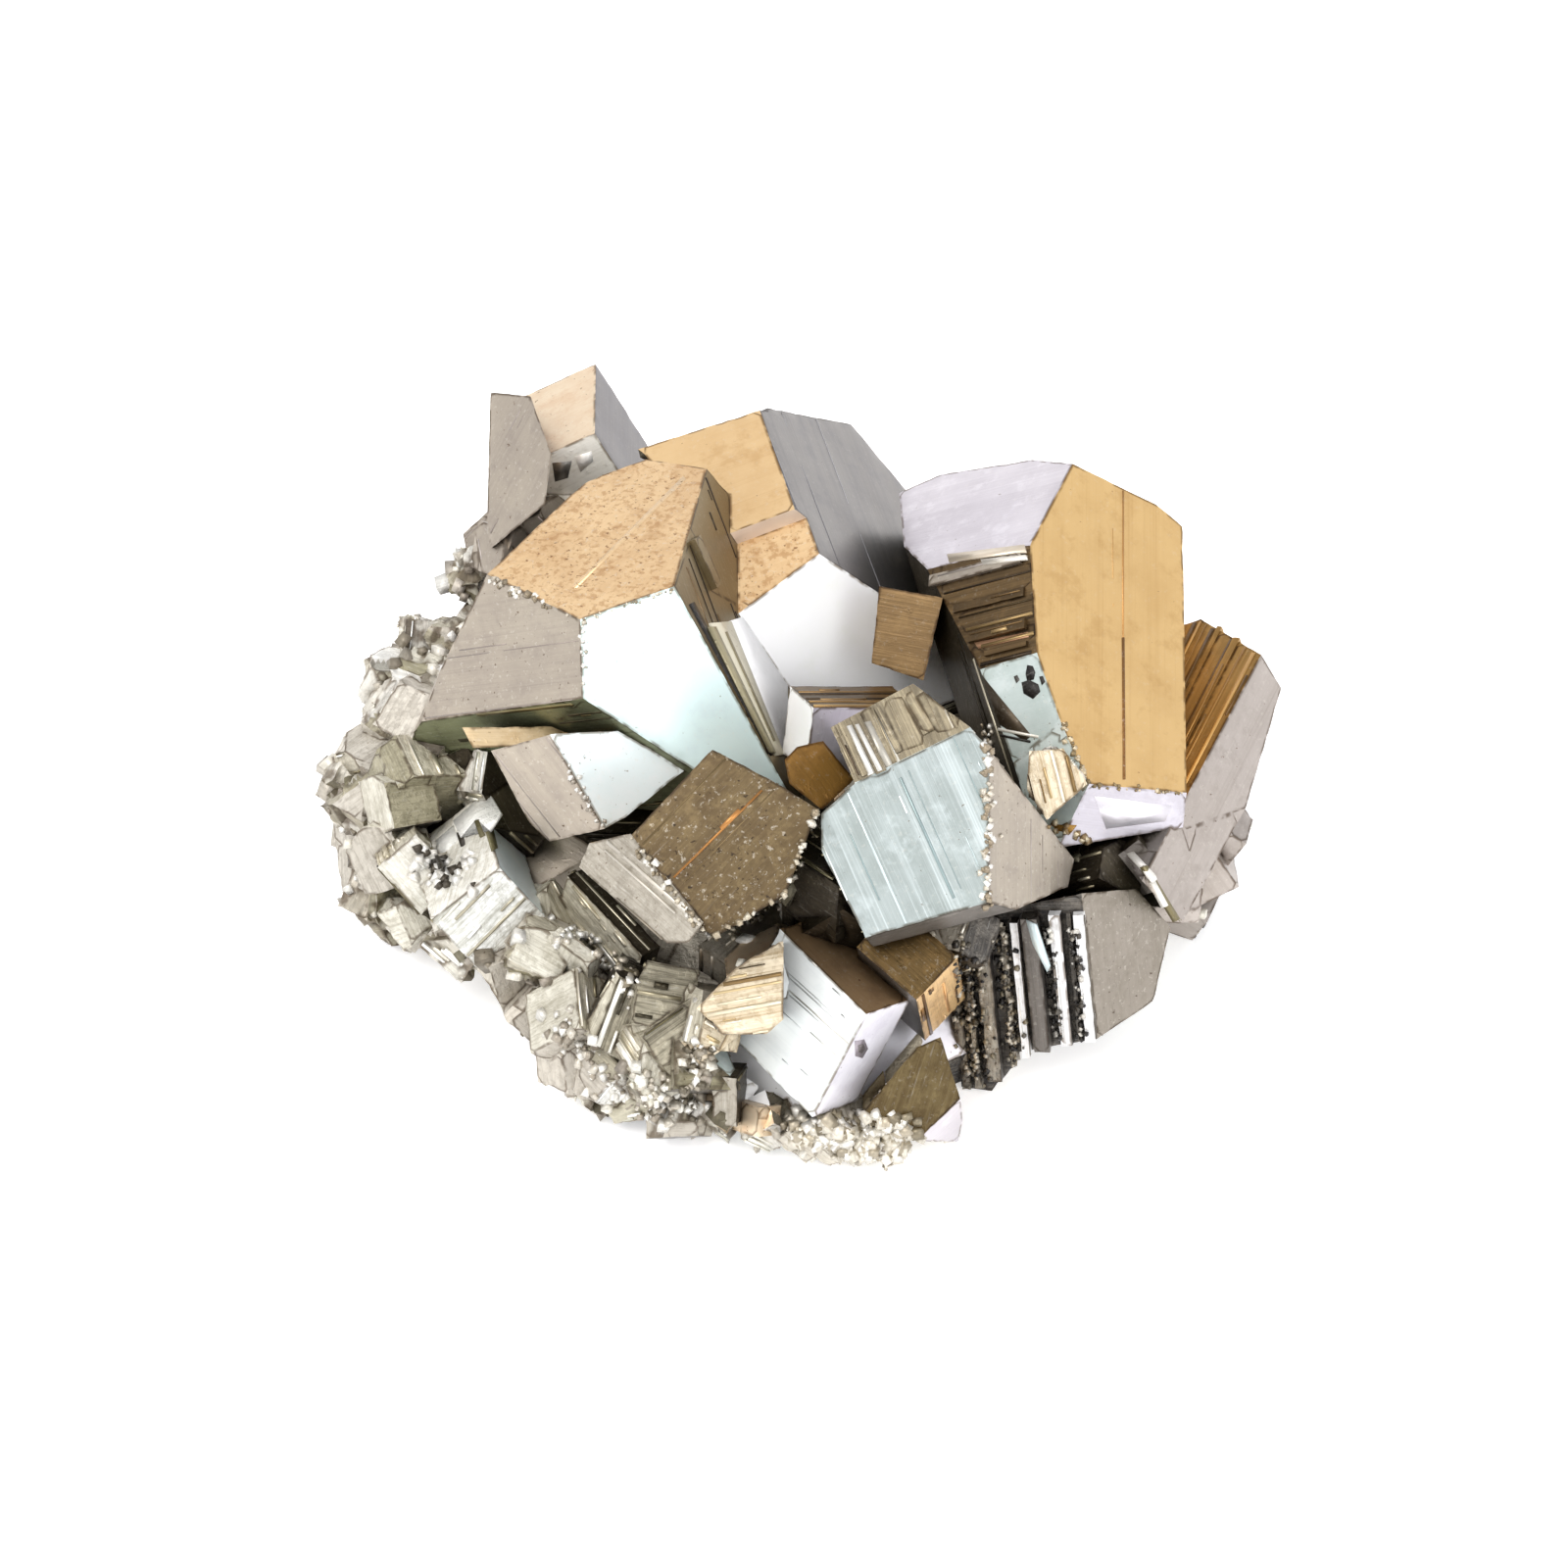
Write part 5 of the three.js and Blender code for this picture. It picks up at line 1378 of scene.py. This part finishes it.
# %% Lay grains along the crystals' edges
def along_line(places, share):
    """The place a share of the way along a bent line, by its length."""
    steps = np.diff(places, axis=0)
    ends = np.concatenate([[0], np.cumsum(np.linalg.norm(steps, axis=1))])
    at = share * ends[-1]
    return np.stack([np.interp(at, ends, values) for values in np.array(places, float).T], axis=-1)


SUGAR_AMOUNTS = [0.0, 0.1, 0.2, 0.4]
SUGAR_STRETCH = (0.7, 1.2)  # of each of a grain's three sides
source = np.random.default_rng(400)
centres, outs, sizes, tints = [], [], [], []
for places, width, density, grain, codes in SUGAR_LINES:
    length = np.linalg.norm(np.diff(places, axis=0), axis=1).sum()
    count = int(length * density)
    where = along_line(places, source.random(count)) + source.normal(0, width / 3, (count, 2))
    found = [met for met in map(hit, where) if met is not None]
    centres += [point for point, _ in found]
    outs += [face_normals[index] for _, index in found]
    sizes.append(source.uniform(*grain, (len(found), 1)) * source.uniform(*SUGAR_STRETCH, (len(found), 3)))
    tints.append(drawn(codes, len(found), source))
centres, outs, sizes, tints = np.array(centres), np.array(outs), np.vstack(sizes), np.vstack(tints)
blocks("sugar_grains", centres, outs, sizes, tints, SUGAR_AMOUNTS, source, lean=0.9, shift=0.13)

# %% [markdown]
# ## The finish in shader nodes
# The finish takes about a hundred nodes. Drawn as a node tree it is hard to follow, and written as sums
# in Python it is a page. One small class holds a node's output, and its operators make the Math nodes.

# %% Shader maths as Python
class Shade:
    """One output of a shader node. The operators add Math nodes; numbers alone stay in Python."""

    def __init__(self, tree, socket=None):
        self.tree, self.socket = tree, socket

    def node(self, kind, settings=None, inputs=None, output=0):
        """A new node of a kind: its settings are set first, then its sockets are linked or valued."""
        made = self.tree.nodes.new(kind)
        for name, value in (settings or {}).items():
            setattr(made, name, value)
        for name, value in (inputs or {}).items():
            if isinstance(value, Shade):
                self.tree.links.new(value.socket, made.inputs[name])
            else:
                made.inputs[name].default_value = value
        return Shade(self.tree, made.outputs[output] if len(made.outputs) else None)

    def math(self, operation, *values):
        """A Math node of an operation, such as ADD, on these values."""
        return self.node("ShaderNodeMath", {"operation": operation}, dict(enumerate(values)))

    def __add__(self, other):
        return self.math("ADD", self, other)

    def __radd__(self, other):
        return self.math("ADD", other, self)

    def __sub__(self, other):
        return self.math("SUBTRACT", self, other)

    def __rsub__(self, other):
        return self.math("SUBTRACT", other, self)

    def __mul__(self, other):
        return self.math("MULTIPLY", self, other)

    def __rmul__(self, other):
        return self.math("MULTIPLY", other, self)

    def ramp(self, start, end, low=0.0, high=1.0):
        """A smooth step of this value: low up to start, high from end on."""
        values = {"Value": self, "From Min": start, "From Max": end, "To Min": low, "To Max": high}
        return self.node("ShaderNodeMapRange", {"interpolation_type": "SMOOTHSTEP"}, values)

    def mixed(self, first, second, blend="MIX"):
        """The two colours mixed, or blended another way, by this value as the factor."""
        settings = {"data_type": "RGBA", "blend_type": blend}
        return self.node("ShaderNodeMix", settings, {"Factor": self, 6: first, 7: second}, 2)


def attribute(shade, name, output):
    """A value stored on the mesh: its Color or its Fac output."""
    return shade.node("ShaderNodeAttribute", {"attribute_name": name}, output=output)


# %% [markdown]
# The finish is a metal whose tint comes from the mesh. Growth lines are a noise stretched along the first
# direction of the face's own map, pits are the rare high spots of a fine noise, and the crust is a coarser
# one. Each one colours the metal, changes its roughness and feeds one bump. Last, the stored occlusion
# paints shade into the recesses. A picture of a real face would be quicker, but it would fix the light in
# it and would repeat.

# %% The pyrite finish
LIGHT_DUST = (0.80, 0.76, 0.66, 1)
LIGHT_FIBRES = (0.95, 0.93, 0.87, 1)
FAINT_PATCHES = (0.90, 0.90, 0.92, 1)
PIT_SHADE = (0.30, 0.22, 0.15, 1)
EDGE_SHADE = (0.22, 0.17, 0.12, 1)
# the colour of the shade painted into the recesses
PAINTED_RECESS_SHADE = (0.22, 0.19, 0.14, 1)
BUMP_DEPTH = 0.00012  # metres


def pyrite_finish():
    """Metal with a tint per face, growth lines, pits, crust, dark edges and painted shade in the recesses."""
    material = bpy.data.materials.new("pyrite")
    material.use_nodes = True
    tree = material.node_tree
    tree.nodes.clear()
    s = Shade(tree)
    place = s.node("ShaderNodeTexCoord", output="Object")
    growth = s.node("ShaderNodeUVMap", {"uv_map": "growth"})
    tint, line_tint = attribute(s, "tint", "Color"), attribute(s, "line_tint", "Color")
    lined, pitted, crusty, metallic = (attribute(s, name, "Fac") for name in AMOUNT_NAMES)
    rim, painted_shade = attribute(s, "rim", "Fac"), attribute(s, "occlusion", "Fac")

    def noise(vector, scale, detail=2.0, roughness=0.5):
        """A noise from 0 to 1. Its scale is in waves for each metre, or for each mm of the growth map."""
        values = {"Vector": vector, "Scale": scale, "Detail": detail, "Roughness": roughness}
        return s.node("ShaderNodeTexNoise", {"noise_dimensions": "3D"}, values)

    def stretched(along, across):
        """The growth map, with so many waves for each mm along and across the lines."""
        return s.node("ShaderNodeMapping", None, {"Vector": growth, "Scale": (along, across, 1.0)})

    # Growth lines, broad and fine.
    broad_lines = noise(stretched(0.015, 0.6), 1.0, 3.0, 0.6)
    fine_lines = noise(stretched(0.06, 5.5), 1.0, 2.0, 0.7)
    line_mask = broad_lines.ramp(0.45, 0.62) * fine_lines.ramp(0.35, 0.7, 0.3, 1.0) * lined
    hair_lines = fine_lines.ramp(0.58, 0.72) * lined

    # Pits, speckle, dust and tarnish on the flat faces.
    flecks = noise(place, 2300.0, 3.0, 0.65)
    crowd = noise(place, 150.0, 2.0)
    pits = (flecks + 0.16 * pitted + 0.10 * crowd).ramp(0.80, 0.86)
    speckle = noise(place, 1700.0, 3.0, 0.65).ramp(0.51, 0.63) * pitted.ramp(0.4, 1.0)
    mottle = noise(place, 420.0, 5.0, 0.7).ramp(0.5, 0.68)
    dust = noise(place, 2600.0, 3.0, 0.7).ramp(0.58, 0.68) * pitted
    cloud = noise(place, 260.0, 4.0, 0.6)
    patches = noise(place, 70.0, 2.0, 0.5)

    # Fibres and crust on the broken faces, and a dark line along the edges.
    fibres = noise(stretched(0.3, 4.0), 1.0, 3.0, 0.7)
    grain = noise(place, 1500.0, 4.0, 0.65)
    crust = (crusty * 0.35 + grain).ramp(0.62, 0.80) * crusty.ramp(0.0, 0.3)
    edge_line = rim.ramp(0.05, 0.24, 1.0, 0.0) * noise(place, 800.0, 2.0).ramp(0.36, 0.56)

    # The tint, changed by one after the other.
    coloured = (line_mask * 0.8).mixed(tint, line_tint)
    coloured = (hair_lines * 0.5).mixed(coloured, line_tint)
    coloured = (cloud.ramp(0.35, 0.7) * 0.22).mixed(coloured, line_tint)
    coloured = (speckle * 0.6).mixed(coloured, line_tint)
    coloured = (mottle * 0.35).mixed(coloured, line_tint)
    coloured = (dust * 0.35).mixed(coloured, LIGHT_DUST)
    coloured = (fibres.ramp(0.48, 0.62) * crusty * 0.75).mixed(coloured, line_tint)
    coloured = (fibres.ramp(0.40, 0.28) * crusty * 0.5).mixed(coloured, LIGHT_FIBRES)
    coloured = (crust * 0.3).mixed(coloured, line_tint)
    coloured = (patches.ramp(0.3, 0.7) * 0.5).mixed(coloured, FAINT_PATCHES, "MULTIPLY")
    coloured = (pits * 0.9).mixed(coloured, PIT_SHADE, "MULTIPLY")
    coloured = (edge_line * 0.85).mixed(coloured, EDGE_SHADE, "MULTIPLY")
    # Painted shade: the stored occlusion darkens the colour in the recesses.
    coloured = painted_shade.ramp(0.28, 0.75, 0.0, 0.85).mixed(coloured, PAINTED_RECESS_SHADE, "MULTIPLY")

    roughness = 0.27 + 0.10 * cloud + 0.08 * line_mask + 0.25 * pits + 0.22 * crusty
    shine = metallic * (1 - 0.5 * pits)
    bumpy = noise(place, 900.0, 3.0) * (0.10 + crusty * 1.5)
    height = broad_lines * lined + fine_lines * lined * 0.35 - pits * 1.2
    height = height + crust * 1.2 - fibres * crusty * 3.0 + bumpy
    bumped = s.node("ShaderNodeBump", None, {"Height": height, "Strength": 0.35, "Distance": BUMP_DEPTH})
    metal = {"Base Color": coloured, "Roughness": roughness, "Metallic": shine, "Normal": bumped}
    surface = s.node("ShaderNodeBsdfPrincipled", None, metal)
    s.node("ShaderNodeOutputMaterial", None, {"Surface": surface})
    return material


pyrite = pyrite_finish()
dressed = [piece for piece in scene.objects if piece.type == "MESH" and "tint" in piece.data.attributes]
for piece in dressed:
    piece.data.materials.append(pyrite)
cad_node.data.materials.clear()
cad_node.data.materials.append(pyrite)
print(len(pyrite.node_tree.nodes), "nodes in the finish,", len(dressed), "pieces")

# %% [markdown]
# ## Floor and light
# The specimen lies on white card under soft light from all round, so the faces mirror broad pale shapes
# and not small lamps. Two large soft lights above give the card its white and the crevices their shade.

# %% The floor, the lights and the room's light
def plain_material(name, colour, roughness, glow):
    """A matt material of one colour that also glows a little in white."""
    material = bpy.data.materials.new(name)
    material.use_nodes = True
    shader = material.node_tree.nodes["Principled BSDF"]
    shader.inputs["Base Color"].default_value = (*colour, 1)
    shader.inputs["Roughness"].default_value = roughness
    shader.inputs["Emission Color"].default_value = (1, 1, 1, 1)
    shader.inputs["Emission Strength"].default_value = glow
    return material


FLOOR_HALF = 3000.0
LIT = (0, 0, 10)  # mm: what both lights point at
ROOM_COLOUR, ROOM_STRENGTH = (0.97, 0.97, 1.0, 1), 1.04
card = np.array([[-1, -1, 0], [1, -1, 0], [1, 1, 0], [-1, 1, 0]]) * FLOOR_HALF
floor = new_piece("floor", card, np.array([[0, 1, 2], [0, 2, 3]]))
floor.data.materials.append(plain_material("white card", (0.95, 0.95, 0.95), 0.8, 0.35))


def soft_light(name, place, aim, size, power, colour):
    """A square area light at a place in mm that looks at a point."""
    data = bpy.data.lights.new(name, "AREA")
    data.size, data.energy, data.color = size * MM, power, colour
    light = bpy.data.objects.new(name, data)
    light.location = Vector(place) * MM
    light.rotation_mode = "QUATERNION"
    light.rotation_quaternion = (Vector(aim) - Vector(place)).to_track_quat("-Z", "Y")
    scene.collection.objects.link(light)


soft_light("window", (-260, -120, 520), LIT, 420, 2.2, (1.0, 0.98, 0.95))
soft_light("bounce", (420, -320, 330), LIT, 380, 1.2, (0.96, 0.98, 1.0))
world = bpy.data.worlds.new("room")
world.use_nodes = True
scene.world = world
background = world.node_tree.nodes["Background"]
background.inputs["Color"].default_value = ROOM_COLOUR
background.inputs["Strength"].default_value = ROOM_STRENGTH
scene.view_settings.view_transform = "Standard"
print(len(bpy.data.lights), "soft lights, and the room's light of", ROOM_STRENGTH)
